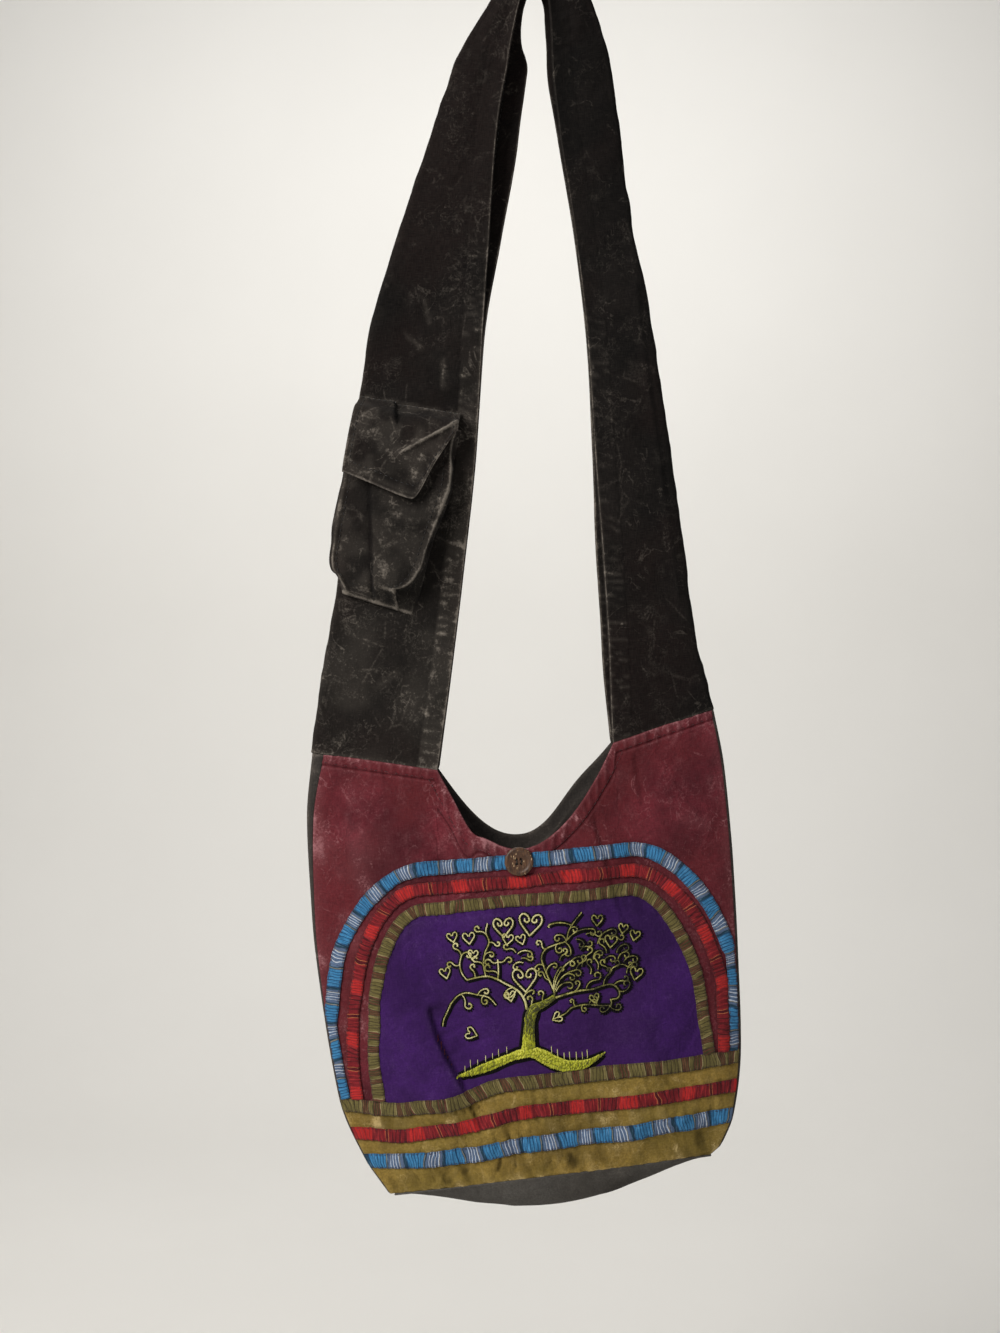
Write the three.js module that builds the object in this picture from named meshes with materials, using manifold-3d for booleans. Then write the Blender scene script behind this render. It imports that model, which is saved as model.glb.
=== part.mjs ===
// Embroidered crossbody bag of washed cotton, hanging empty from the fold of its wide strap.
// Millimetres, +Z up, the front faces -Y. The origin is the inside of the strap's fold at its top,
// where a hook or a shoulder carries the bag.
import * as THREE from 'three';
import { mergeVertices } from 'three/addons/utils/BufferGeometryUtils.js';
import Module from 'manifold-3d';

// Cloth
const CLOTH = 1.5; // strap, back, bottom and ground panels
const TRIM = 1.0; // strips, bands and centre panel sewn on the front
const LAYER_GAP = 0.6; // between a ground panel and what is sewn on it
const SEAM_GAP = 0.5; // between two panels at a seam
const SIDE_INSET = 1; // of the trim from the side seams
const CENTRE_GAP = 1.5; // between the centre panel and the innermost arch
const SIDE_GAP = 0.9; // between front and back along the side seams
const TRIM_FACE = LAYER_GAP + TRIM; // outer face of the trim, above the ground panel
const STITCH_GAP = 0.5; // between the trim and the stitches or the button on it

// The bag hangs a little turned, so the body has a frame of its own: its origin is the middle of the
// bottom seam, u runs to the right along the seam and height runs up the panel.
const BODY_PLACE = new THREE.Vector3(10.5, 0, -865.8);
const BODY_ROLL = THREE.MathUtils.degToRad(7);
const SIDE_RADIUS = 3; // fold along each side of the body
const RIGHT_WRAP = 2; // back cloth that shows in front of the right-hand fold

// Body sections: the two sides, how far front and back bulge, and how far the back wraps to the left front
const BODY = [
  { height: 0, left: -114.7, right: 119.5, front: 20, back: 18, wrap: 1.5 },
  { height: 25, left: -128, right: 132, front: 21, back: 19, wrap: 1.5 },
  { height: 70, left: -141, right: 142.6, front: 21, back: 20, wrap: 1.5 },
  { height: 136, left: -144.5, right: 148.7, front: 20, back: 20, wrap: 1.5 },
  { height: 174, left: -145, right: 151.5, front: 18, back: 18, wrap: 2 },
  { height: 220, left: -143, right: 154, front: 15.5, back: 15.5, wrap: 3 },
  { height: 266, left: -139.5, right: 155, front: 13, back: 13, wrap: 5 },
  { height: 312, left: -130, right: 152, front: 11, back: 11, wrap: 9 },
];

// Soft folds of the body cloth: a ridge, or a valley where depth is negative, along a line
const FRONT_FOLDS = [
  { fromU: -64, fromH: 150, toU: -38, toH: 84, width: 19, depth: -3 }, // across the centre panel
  { fromU: -92, fromH: 128, toU: -66, toH: 72, width: 19, depth: 2.6 }, // roll beside that valley
  { fromU: 80, fromH: 258, toU: 92, toH: 186, width: 18, depth: -3.6 }, // below the right shoulder
  { fromU: -100, fromH: 262, toU: -70, toH: 238, width: 17, depth: 2.4 }, // below the left shoulder
  { fromU: 62, fromH: 44, toU: 100, toH: 128, width: 22, depth: 2.4 }, // slack lower right
];
const BACK_FOLDS = [
  { fromU: -60, fromH: 230, toU: -76, toH: 70, width: 20, depth: 3 },
  { fromU: 70, fromH: 235, toU: 84, toH: 60, width: 20, depth: -3 },
];

// Shoulder seams, outer end at the fold and inner end at the neckline, and the neckline between them
const LEFT_SEAM = { outerU: -130.2, outerH: 312.2, innerU: -44.4, innerH: 289.3 };
const RIGHT_SEAM = { outerU: 152.1, outerH: 308.3, innerU: 79.1, innerH: 293 };
const NECK = { u: 9.5, h: 228, leftPower: 2.3, rightPower: 1.8, backLift: 7 };
const NECK_HOLLOW = { u: -26, width: 7.5, depth: 7 }; // the front neckline sags beside the left seam

// Front: lower panel, horizontal bands and arched strips
const PANEL_JOIN = 70.5; // the yoke meets the lower panel behind the top band
// The lower front hangs slack on the left, so all that is sewn across it drops by a share of its height
const SLACK = 0.16;
const SLACK_SHARE = [
  { u: -145, share: 0.4 },
  { u: -120, share: 0.7 },
  { u: -94, share: 1 },
  { u: -58, share: 0.72 },
  { u: -12, share: 0.02 },
  { u: 50, share: 0.15 },
  { u: 114, share: 0.35 },
  { u: 146, share: 0.4 },
];
const BANDS = [
  { name: 'band_strip_olive', height: 70.5, width: 9.4 },
  { name: 'band_strip_red', height: 49, width: 9 },
  { name: 'band_strip_blue', height: 27.5, width: 10.4 },
];
const ARCH_CENTRE = 2;
const ARCH_TILT = 0.03; // the arches rise to the left, as sewn
// Arched strips: the top, the width and the least distance of the strip's middle from the side seams,
// then for each side its half width, the height where its leg bends in and half of the straight top
const ARCHES = [
  {
    name: 'arch_strip_blue',
    top: 226,
    width: 9.5,
    room: 3.5,
    left: { half: 145.5, start: 112, topHalf: 60 },
    right: { half: 148.5, start: 104, topHalf: 78 },
  },
  {
    name: 'arch_strip_red',
    top: 211,
    width: 8.4,
    room: 11.4,
    left: { half: 133.5, start: 76, topHalf: 68 },
    right: { half: 136.5, start: 100, topHalf: 76 },
  },
  {
    name: 'arch_strip_olive',
    top: 197.5,
    width: 8,
    room: 21,
    left: { half: 118.5, start: 76, topHalf: 66 },
    right: { half: 120.5, start: 100, topHalf: 74 },
  },
];
const STRIP_COLORS = { blue: 0x4a94c4, red: 0xa8323a, olive: 0x7d6c3a };
const HEM_RISE = 4; // the front's bottom seam rises in its middle
const BOTTOM_SAG = 22;

// Strap sections from the left shoulder over the top to the right shoulder, in the bag's own frame:
// the fold on the outside of the loop, the front edge on its inside, half the gap between the two
// layers at their edges, how much further in the back edge lies, and the height of a lengthwise pleat
const STRAP_FOLD_RADIUS = 4;
const STRAP = [
  { outX: -147.4, outZ: -508.2, inX: -58.8, inZ: -508.2, halfGap: 4, backMore: 0, pleat: 0 },
  { outX: -136.2, outZ: -437.5, inX: -50.4, inZ: -437.5, halfGap: 4, backMore: 0, pleat: 0 },
  { outX: -127.8, outZ: -360.5, inX: -42.3, inZ: -360.5, halfGap: 4, backMore: 0, pleat: 0 },
  { outX: -116.6, outZ: -283.5, inX: -38, inZ: -283.5, halfGap: 4, backMore: 1, pleat: 0 },
  { outX: -96.6, outZ: -213.5, inX: -33.3, inZ: -213.5, halfGap: 5, backMore: 8, pleat: 0.4 },
  { outX: -74.2, outZ: -143.5, inX: -28.2, inZ: -143.5, halfGap: 6, backMore: 15, pleat: 0.8 },
  { outX: -52.9, outZ: -84, inX: -20.3, inZ: -91, halfGap: 7.5, backMore: 14, pleat: 1.2 },
  { outX: -31, outZ: -46, inX: -15.5, inZ: -65, halfGap: 8.5, backMore: 8, pleat: 1.4 },
  { outX: -15, outZ: -13, inX: -8.5, inZ: -41, halfGap: 9, backMore: 3, pleat: 1.5 },
  { outX: 3, outZ: 0.75, inX: -1, inZ: -31, halfGap: 9, backMore: 2, pleat: 1.5 },
  { outX: 23, outZ: -16, inX: 6, inZ: -41, halfGap: 9, backMore: 2, pleat: 1.5 },
  { outX: 38, outZ: -46, inX: 9.8, inZ: -60, halfGap: 8.5, backMore: 3, pleat: 1.4 },
  { outX: 51, outZ: -87.5, inX: 11.5, inZ: -93, halfGap: 7.5, backMore: 3, pleat: 1.2 },
  { outX: 58.8, outZ: -143.5, inX: 17.5, inZ: -143.5, halfGap: 6, backMore: 1, pleat: 0.8 },
  { outX: 69, outZ: -213.5, inX: 28, inZ: -213.5, halfGap: 5, backMore: 0, pleat: 0.4 },
  { outX: 82.2, outZ: -283.5, inX: 36.2, inZ: -283.5, halfGap: 4, backMore: 0, pleat: 0 },
  { outX: 94.2, outZ: -360.5, inX: 41.3, inZ: -360.5, halfGap: 4, backMore: 1, pleat: 0 },
  { outX: 104.2, outZ: -437.5, inX: 47.2, inZ: -437.5, halfGap: 4, backMore: 4, pleat: 0 },
  { outX: 113, outZ: -500.5, inX: 51.1, inZ: -500.5, halfGap: 5, backMore: 4, pleat: 0 },
];
const STRAP_STEPS_PER_ROW = 2;

// Bellows pocket on the left half of the strap, in a frame at the middle of its mouth that leans with it
const POCKET_PLACE = new THREE.Vector3(-88, -(STRAP_FOLD_RADIUS + CLOTH / 2 + 0.4), -344);
const POCKET_LEAN = Math.atan2(STRAP[2].outX - STRAP[1].outX, STRAP[2].outZ - STRAP[1].outZ);
const POCKET_CLOTH = 1.2;
// Pouch sections down from the mouth: both sides, depth, and how far the front face sags to the left
const POUCH = [
  { down: 0, left: -37, right: 36, depth: 8, sag: 2 },
  { down: 40, left: -38, right: 31, depth: 12, sag: 4 },
  { down: 85, left: -38, right: 24, depth: 16, sag: 7 },
  { down: 110, left: -38, right: 20, depth: 15, sag: 8 },
  { down: 126, left: -34, right: 15, depth: 3, sag: 2 },
];
// Flap: a profile from the seam above the mouth over the pouch, and its length across the width
const FLAP_PROFILE = [
  { out: -1.2, up: 13 },
  { out: 3.5, up: 8.5 },
  { out: 10.5, up: 3 },
  { out: 13.2, up: -9 },
  { out: 15.4, up: -27 },
  { out: 17.4, up: -52 },
];
const FLAP_SLANT = 0.07; // the flap is sewn lower on the right
const FLAP_EDGE = [
  { across: -36, lean: -5, reach: 0.92 },
  { across: -18, lean: -4, reach: 0.95 },
  { across: 8, lean: 0, reach: 1 },
  { across: 22, lean: 0, reach: 0.76 },
  { across: 34, lean: 0, reach: 0.46 },
];

// Coconut-shell button on the neckline
const BUTTON = { u: 4.3, h: 220.7, radius: 10.5, thickness: 3.2, rim: 1.6, dish: 0.7 };
const BUTTON_HOLES = { radius: 1, offset: 2.3 };

// Embroidered tree on the centre panel: its padded trunk and the hill that it stands on
const STITCH_FACE = 1; // height of the stitches
const TRUNK = [
  { h: 91.6, u: -4.5, width: 15 },
  { h: 94, u: -4.4, width: 11.5 },
  { h: 97.5, u: -4.2, width: 9.6 },
  { h: 109.5, u: -2.1, width: 8.1 },
  { h: 115, u: -0.6, width: 8.4 },
  { h: 119, u: 2, width: 7.2 },
];
const HILL = [
  { u: -57, h: 77.5, thick: 1 },
  { u: -38, h: 83.7, thick: 4.6 },
  { u: -16, h: 88.2, thick: 6 },
  { u: -5, h: 87.2, thick: 6 },
  { u: 6, h: 83.7, thick: 6 },
  { u: 26, h: 78.9, thick: 5 },
  { u: 46, h: 82.2, thick: 1 },
];

// Finishes
const MAROON = 0x6a2438;
const BLACK = 0x1f1b1b;
const CHARCOAL = 0x2b292a;
const OLIVE = 0x6f6130;
const PURPLE = 0x3a1a78;
const GREEN = 0xa8b02c;
const COCONUT = 0x4a2f1c;

const wasm = await Module();
wasm.setup();

const cloth = (color) => new THREE.MeshStandardMaterial({ color, roughness: 0.95, metalness: 0 });
const stripCloth = (name) => cloth(STRIP_COLORS[name.split('_').pop()]);
const shell = (color) => new THREE.MeshStandardMaterial({ color, roughness: 0.5, metalness: 0 });

// Smooth curve through one column of a table, with no overshoot between rows
function columnCurve(rows, key, column) {
  const x = rows.map((row) => row[key]);
  const y = rows.map((row) => row[column]);
  const secant = x.slice(1).map((right, i) => (y[i + 1] - y[i]) / (right - x[i]));
  const slope = x.map((_, i) => {
    const before = secant[Math.max(0, i - 1)];
    const after = secant[Math.min(secant.length - 1, i)];
    return before * after <= 0 ? 0 : (2 * before * after) / (before + after);
  });
  return (at) => {
    let i = x.findIndex((right, k) => k > 0 && at <= right) - 1;
    if (i < 0) i = at < x[0] ? 0 : x.length - 2;
    const span = x[i + 1] - x[i];
    const t = (at - x[i]) / span;
    const rise = t * t * (3 - 2 * t);
    const start = t * (1 - t) * (1 - t);
    const end = t * t * (t - 1);
    return y[i] + (y[i + 1] - y[i]) * rise + span * (slope[i] * start + slope[i + 1] * end);
  };
}

// Curves for several columns at once: the result maps a key to an object with those columns
function tableCurves(rows, key) {
  const columns = Object.keys(rows[0]).filter((name) => name !== key);
  const curves = columns.map((name) => [name, columnCurve(rows, key, name)]);
  return (at) => Object.fromEntries(curves.map(([name, curve]) => [name, curve(at)]));
}

// Closed geometry from vertices and triangles, turned to face outwards
function closedGeometry(vertices, triangles) {
  let volume = 0;
  for (const [a, b, c] of triangles) {
    volume += vertices[a].dot(new THREE.Vector3().crossVectors(vertices[b], vertices[c]));
  }
  const facing = volume > 0 ? triangles : triangles.map(([a, b, c]) => [a, c, b]);
  const geometry = new THREE.BufferGeometry().setFromPoints(vertices);
  geometry.setIndex(facing.flat());
  geometry.computeVertexNormals();
  return geometry;
}

// A sheet of cloth: a grid of outer points over a grid of inner points, walled round its edge
function sheet(columns, rows, outer, inner) {
  const vertices = [];
  for (const face of [outer, inner]) {
    for (let i = 0; i <= columns; i++) {
      for (let j = 0; j <= rows; j++) vertices.push(face(i, j));
    }
  }
  const innerStart = (columns + 1) * (rows + 1);
  const at = (i, j) => i * (rows + 1) + j;
  const triangles = [];
  const quad = (a, b, c, d) => triangles.push([a, b, c], [a, c, d]);
  for (let i = 0; i < columns; i++) {
    for (let j = 0; j < rows; j++) {
      const corners = [at(i, j), at(i + 1, j), at(i + 1, j + 1), at(i, j + 1)];
      quad(...corners);
      quad(...corners.map((corner) => corner + innerStart).reverse());
    }
  }
  const wall = (a, b) => quad(b, a, a + innerStart, b + innerStart);
  for (let i = 0; i < columns; i++) {
    wall(at(i, 0), at(i + 1, 0));
    wall(at(i + 1, rows), at(i, rows));
  }
  for (let j = 0; j < rows; j++) {
    wall(at(0, j + 1), at(0, j));
    wall(at(columns, j), at(columns, j + 1));
  }
  return closedGeometry(vertices, triangles);
}

const steps = (count) => Array.from({ length: count + 1 }, (_, k) => k / count);
const edgeWeighted = (count) => steps(count).map((t) => (1 - Math.cos(Math.PI * t)) / 2);

// Body surface
const bodySection = tableCurves(BODY, 'height');

function foldHeight(folds, u, h) {
  let sum = 0;
  for (const fold of folds) {
    const along = new THREE.Vector2(fold.toU - fold.fromU, fold.toH - fold.fromH);
    const offset = new THREE.Vector2(u - fold.fromU, h - fold.fromH);
    const t = THREE.MathUtils.clamp(offset.dot(along) / along.lengthSq(), 0, 1);
    const away = offset.addScaledVector(along, -t).length();
    sum += fold.depth * Math.exp(-((away / fold.width) ** 2));
  }
  return sum;
}

// How far the cloth stands out from the middle of the bag: a round fold at each side and a bulge between
function standOut(u, h, bulgeColumn, folds) {
  const section = bodySection(h);
  const toSide = Math.max(0, Math.min(u - section.left, section.right - u));
  const inFold = Math.max(0, SIDE_RADIUS - toSide);
  const share = (2 * u - section.left - section.right) / (section.right - section.left);
  const bulge = (section[bulgeColumn] - SIDE_RADIUS) * Math.max(0, 1 - share * share);
  const ease = Math.min(1, toSide / (4 * SIDE_RADIUS));
  return Math.sqrt(SIDE_RADIUS ** 2 - inFold ** 2) + bulge + ease * foldHeight(folds, u, h);
}
const frontY = (u, h) => -standOut(u, h, 'front', FRONT_FOLDS);
const backY = (u, h) => standOut(u, h, 'back', BACK_FOLDS);

// Point of the front at u and height, moved out square to the cloth
function frontPoint(u, h, out) {
  const reach = 0.5;
  const slope = (frontY(u + reach, h) - frontY(u - reach, h)) / (2 * reach);
  const length = Math.hypot(slope, 1);
  return new THREE.Vector3(u + (slope / length) * out, frontY(u, h) - out / length, h);
}

// Sides of the front panels, at their seams with the back
const frontLeft = (h) => bodySection(h).left + bodySection(h).wrap + SIDE_GAP / 2;
const frontRight = (h) => bodySection(h).right - RIGHT_WRAP - SIDE_GAP / 2;

// Top edge of the body: shoulder seams and, between them, the neckline
function topEdge(u, lift) {
  for (const seam of [LEFT_SEAM, RIGHT_SEAM]) {
    const t = (u - seam.innerU) / (seam.outerU - seam.innerU);
    if (t >= 0) return THREE.MathUtils.lerp(seam.innerH, seam.outerH, t) - SEAM_GAP;
  }
  const [seam, power] = u < NECK.u ? [LEFT_SEAM, NECK.leftPower] : [RIGHT_SEAM, NECK.rightPower];
  const share = (u - NECK.u) / (seam.innerU - NECK.u);
  const rise = (seam.innerH - SEAM_GAP - NECK.h) * share ** power;
  const hollow = NECK_HOLLOW.depth * Math.exp(-(((u - NECK_HOLLOW.u) / NECK_HOLLOW.width) ** 2));
  return NECK.h + rise + (lift ? lift * (1 - share ** 6) : -hollow);
}

// Height at which a column that runs up the cloth at u = place(height) meets the top edge
function topOfColumn(place, lift) {
  let low = PANEL_JOIN;
  let high = LEFT_SEAM.outerH + SEAM_GAP;
  for (let pass = 0; pass < 40; pass++) {
    const h = (low + high) / 2;
    if (h < topEdge(place(h), lift)) low = h;
    else high = h;
  }
  return low;
}

// Shares of the width for the columns of a panel that reaches the top edge, with one at each corner
function columnShares(sideLeft, sideRight, lift) {
  const shareAt = (u, h) => (u - sideLeft(h)) / (sideRight(h) - sideLeft(h));
  const corners = [
    0,
    shareAt(LEFT_SEAM.innerU, LEFT_SEAM.innerH - SEAM_GAP),
    shareAt(NECK.u, NECK.h + lift),
    shareAt(RIGHT_SEAM.innerU, RIGHT_SEAM.innerH - SEAM_GAP),
    1,
  ];
  const sideSteps = [0, 0.03, 0.08, 0.16, 0.27, 0.39, 0.51, 0.63, 0.75, 0.88];
  const neckSteps = [0, 0.15, 0.31, 0.48, 0.65, 0.82];
  const mirrored = (list) => [...list.slice(1).map((t) => 1 - t).reverse()];
  const spans = [sideSteps, neckSteps, [0, ...mirrored(neckSteps)], [0, ...mirrored(sideSteps)]];
  const shares = spans.flatMap((span, k) =>
    span.map((t) => THREE.MathUtils.lerp(corners[k], corners[k + 1], t)),
  );
  return [...shares, 1];
}

// Height of a line sewn across the lower front, with its slack
const slackShare = columnCurve(SLACK_SHARE, 'u', 'share');
const sewnHeight = (u, height) => height * (1 - SLACK * slackShare(u));

// Join of the yoke and the lower panel, and the front's bottom seam, at a share of the width
const frontAt = (share, h) => THREE.MathUtils.lerp(frontLeft(h), frontRight(h), share);
const joinHeight = (share) => sewnHeight(frontAt(share, PANEL_JOIN), PANEL_JOIN);
const hemHeight = (share) => HEM_RISE * (1 - (2 * share - 1) ** 2);

function frontYoke() {
  const shares = columnShares(frontLeft, frontRight, 0);
  const tops = shares.map((share) => topOfColumn((h) => frontAt(share, h), 0));
  const rows = 14;
  const point = (i, j, out) => {
    const h = THREE.MathUtils.lerp(joinHeight(shares[i]) + SEAM_GAP / 2, tops[i], j / rows);
    return frontPoint(frontAt(shares[i], h), h, out);
  };
  return sheet(shares.length - 1, rows, (i, j) => point(i, j, 0), (i, j) => point(i, j, -CLOTH));
}

function frontLowerPanel() {
  const shares = columnShares(frontLeft, frontRight, 0);
  const rows = 5;
  const point = (i, j, out) => {
    const h = THREE.MathUtils.lerp(hemHeight(shares[i]), joinHeight(shares[i]) - SEAM_GAP / 2, j / rows);
    return frontPoint(frontAt(shares[i], h), h, out);
  };
  return sheet(shares.length - 1, rows, (i, j) => point(i, j, 0), (i, j) => point(i, j, -CLOTH));
}

// Ribbon of cloth laid on the front along a path of { u, h } points
function frontRibbon(path, widthAt, across, low, high) {
  const last = path.length - 1;
  const point = (i, j, out) => {
    const before = path[Math.max(0, i - 1)];
    const after = path[Math.min(last, i + 1)];
    const along = new THREE.Vector2(after.u - before.u, after.h - before.h).normalize();
    const side = (j / across - 0.5) * widthAt(path[i]);
    return frontPoint(path[i].u - along.y * side, path[i].h + along.x * side, out);
  };
  return sheet(last, across, (i, j) => point(i, j, high), (i, j) => point(i, j, low));
}

function bandPath(band) {
  const middle = sewnHeight(0, band.height);
  const left = frontLeft(sewnHeight(frontLeft(middle), band.height)) + SIDE_INSET;
  const right = frontRight(middle) - SIDE_INSET;
  return edgeWeighted(28).map((t) => {
    const u = THREE.MathUtils.lerp(left, right, t);
    return { u, h: sewnHeight(u, band.height) };
  });
}

// Height of the top band's upper edge, where the arches start
const TOP_BAND = BANDS[0];
const archFoot = (u) => sewnHeight(u, TOP_BAND.height) + TOP_BAND.width / 2 + SEAM_GAP;

// One side of an arch moved in by an inset, from its foot up: a leg, a quarter ellipse and half the top
function archSide(arch, edge, sign, inset, curveSteps) {
  const half = edge.half - inset;
  const rise = arch.top - inset - edge.start;
  const reach = half - edge.topHalf;
  const foot = archFoot(sign * half);
  const outline = [
    ...steps(3).map((t) => ({ x: half, h: THREE.MathUtils.lerp(foot, edge.start, t) })),
    ...steps(curveSteps).slice(1).map((t) => ({
      x: edge.topHalf + reach * Math.cos((t * Math.PI) / 2),
      h: edge.start + rise * Math.sin((t * Math.PI) / 2),
    })),
    ...[0.75, 0.5, 0.25].map((t) => ({ x: edge.topHalf * t, h: edge.start + rise })),
  ];
  return outline.map(({ x, h }) => {
    const lifted = Math.max(0, h - edge.start) / (arch.top - edge.start);
    return { u: ARCH_CENTRE + sign * x, h: h - ARCH_TILT * sign * x * lifted };
  });
}

function archOutline(arch, inset, curveSteps) {
  const left = archSide(arch, arch.left, -1, inset, curveSteps);
  const right = archSide(arch, arch.right, 1, inset, curveSteps);
  const whole = [...left, { u: ARCH_CENTRE, h: arch.top - inset }, ...right.reverse()];
  const room = arch.room + inset - arch.width / 2;
  return whole.map(({ u, h }) => ({
    u: THREE.MathUtils.clamp(u, frontLeft(h) + room, frontRight(h) - room),
    h,
  }));
}

// A strip is narrower where it turns under along a side seam
function archStrip(arch, across) {
  const path = archOutline(arch, arch.width / 2, 10);
  const toSeam = ({ u, h }) => Math.min(u - frontLeft(h), frontRight(h) - u);
  const widthAt = (place) => Math.min(arch.width, 2 * toSeam(place) - SIDE_INSET);
  return frontRibbon(path, widthAt, across, LAYER_GAP, TRIM_FACE);
}

// Centre panel, from the top band up to the inside of the innermost arch
function centrePanel() {
  const arch = ARCHES[2];
  const outline = archOutline(arch, arch.width + CENTRE_GAP, 12);
  const rising = outline.filter((point, k) => k === 0 || point.u > outline[k - 1].u + 1e-6);
  rising[0].h = arch.left.start;
  const topAt = columnCurve(rising, 'u', 'h');
  const left = rising[0].u;
  const right = rising[rising.length - 1].u;
  const columns = 26;
  const shares = edgeWeighted(columns);
  const rows = 8;
  const point = (i, j, out) => {
    const u = THREE.MathUtils.lerp(left, right, shares[i]);
    return frontPoint(u, THREE.MathUtils.lerp(archFoot(u), topAt(u), j / rows), out);
  };
  return sheet(columns, rows, (i, j) => point(i, j, TRIM_FACE), (i, j) => point(i, j, LAYER_GAP));
}

// Back, wrapped round both side folds to its seams with the front
function backPanel() {
  const backLeft = (h) => bodySection(h).left;
  const backRight = (h) => bodySection(h).right;
  const lips = [1, 0.7, 0.35]; // shares of each front wrap, from its seam to the fold
  const rows = 12;
  const leftLip = (share) => (h) => backLeft(h) + (bodySection(h).wrap - SIDE_GAP / 2) * share;
  const rightLip = (share) => (h) => backRight(h) - (RIGHT_WRAP - SIDE_GAP / 2) * share;
  const across = (share) => (h) => THREE.MathUtils.lerp(backLeft(h), backRight(h), share);
  const shares = columnShares(backLeft, backRight, NECK.backLift);
  const columns = [
    ...lips.map((share) => ({ place: leftLip(share), depth: frontY })),
    ...shares.map((share) => ({ place: across(share), depth: backY })),
    ...lips.map((share) => ({ place: rightLip(share), depth: frontY })).reverse(),
  ];
  const tops = columns.map((column) => topOfColumn(column.place, NECK.backLift));
  const onCloth = (k, h) => {
    const { place, depth } = columns[THREE.MathUtils.clamp(k, 0, columns.length - 1)];
    return new THREE.Vector2(place(h), depth(place(h), h));
  };
  const point = (i, j, out) => {
    const h = tops[i] * (j / rows);
    const here = onCloth(i, h);
    const along = onCloth(i + 1, h).sub(onCloth(i - 1, h)).normalize();
    return new THREE.Vector3(here.x - along.y * out, here.y + along.x * out, h);
  };
  return sheet(columns.length - 1, rows, (i, j) => point(i, j, 0), (i, j) => point(i, j, -CLOTH));
}

// Bottom: a pointed oval between the two bottom seams that sags below them
function bottomPanel() {
  const columns = 20;
  const shares = edgeWeighted(columns);
  const rows = 6;
  const inset = 2 * SIDE_RADIUS;
  const fullness = 1.3; // how far the sag keeps to the middle
  const { left, right } = bodySection(0);
  const point = (i, j, out) => {
    const u = THREE.MathUtils.lerp(left + inset, right - inset, shares[i]);
    const across = j / rows;
    const y = THREE.MathUtils.lerp(frontY(u, 0), backY(u, 0), across);
    const sag = BOTTOM_SAG * Math.sin(Math.PI * shares[i]) ** fullness * Math.sin(Math.PI * across);
    const seam = hemHeight(shares[i]) * (1 - across) - SEAM_GAP - CLOTH;
    return new THREE.Vector3(u, y, seam - sag + out);
  };
  return sheet(columns, rows, (i, j) => point(i, j, 0), (i, j) => point(i, j, CLOTH));
}

// Point of the body's frame in the bag's own frame
const bodyToBag = new THREE.Matrix4()
  .makeRotationY(-BODY_ROLL)
  .setPosition(BODY_PLACE.x, BODY_PLACE.y, BODY_PLACE.z);
const shoulder = (u, h) => new THREE.Vector3(u, 0, h).applyMatrix4(bodyToBag);

// Strap section at its seam with the body, as a row of the strap's table
function strapEnd(seam) {
  const outer = shoulder(seam.outerU, seam.outerH);
  const inner = shoulder(seam.innerU, seam.innerH);
  const halfGap = standOut(seam.innerU, seam.innerH, 'front', []) - CLOTH / 2;
  return { outX: outer.x, outZ: outer.z, inX: inner.x, inZ: inner.z, halfGap, backMore: 0, pleat: 0 };
}

// Middle line of a strap section: distance in from the fold and place from front to back
function strapMiddle(width, backWidth, halfGap, pleat) {
  const radius = STRAP_FOLD_RADIUS;
  const layerSteps = 3;
  const layer = (reach, side) =>
    steps(layerSteps).slice(1).map((t) => {
      const ripple = pleat * Math.sin(2 * Math.PI * t);
      return new THREE.Vector2(
        THREE.MathUtils.lerp(radius, reach, t),
        side * (THREE.MathUtils.lerp(radius, halfGap, t) + ripple),
      );
    });
  const fold = [-90, -135, -180, -225, -270].map((degrees) => {
    const angle = THREE.MathUtils.degToRad(degrees);
    return new THREE.Vector2(radius + radius * Math.cos(angle), radius * Math.sin(angle));
  });
  return [...layer(width, -1).reverse(), ...fold, ...layer(backWidth, 1)];
}

// Strap: one band folded along the outside of the loop, its front and back layers hanging inside it
function strap() {
  const rows = [strapEnd(LEFT_SEAM), ...STRAP, strapEnd(RIGHT_SEAM)].map((row, key) => ({ key, ...row }));
  const sectionAt = tableCurves(rows, 'key');
  const count = (rows.length - 1) * STRAP_STEPS_PER_ROW;
  const ring = (i) => {
    const row = sectionAt(i / STRAP_STEPS_PER_ROW);
    const outer = new THREE.Vector3(row.outX, 0, row.outZ);
    const inward = new THREE.Vector3(row.inX, 0, row.inZ).sub(outer);
    const width = inward.length();
    inward.normalize();
    const middle = strapMiddle(width, width + row.backMore, row.halfGap, row.pleat);
    return [CLOTH / 2, -CLOTH / 2].map((out) =>
      middle.map((point, k) => {
        const before = middle[Math.max(0, k - 1)];
        const after = middle[Math.min(middle.length - 1, k + 1)];
        const along = new THREE.Vector2().subVectors(after, before).normalize();
        const inFrom = point.x + along.y * out;
        return outer.clone().addScaledVector(inward, inFrom).setY(point.y - along.x * out);
      }),
    );
  };
  const rings = steps(count).map((_, i) => ring(i));
  const across = rings[0][0].length - 1;
  return sheet(count, across, (i, j) => rings[i][0][j], (i, j) => rings[i][1][j]);
}

// Solids for cutting and joining
function toSolid(geometry) {
  const bare = geometry.clone();
  bare.deleteAttribute('normal');
  bare.deleteAttribute('uv');
  const merged = mergeVertices(bare, 1e-4);
  return new wasm.Manifold(
    new wasm.Mesh({
      numProp: 3,
      vertProperties: merged.attributes.position.array,
      triVerts: new Uint32Array(merged.index.array),
    }),
  );
}

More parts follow.
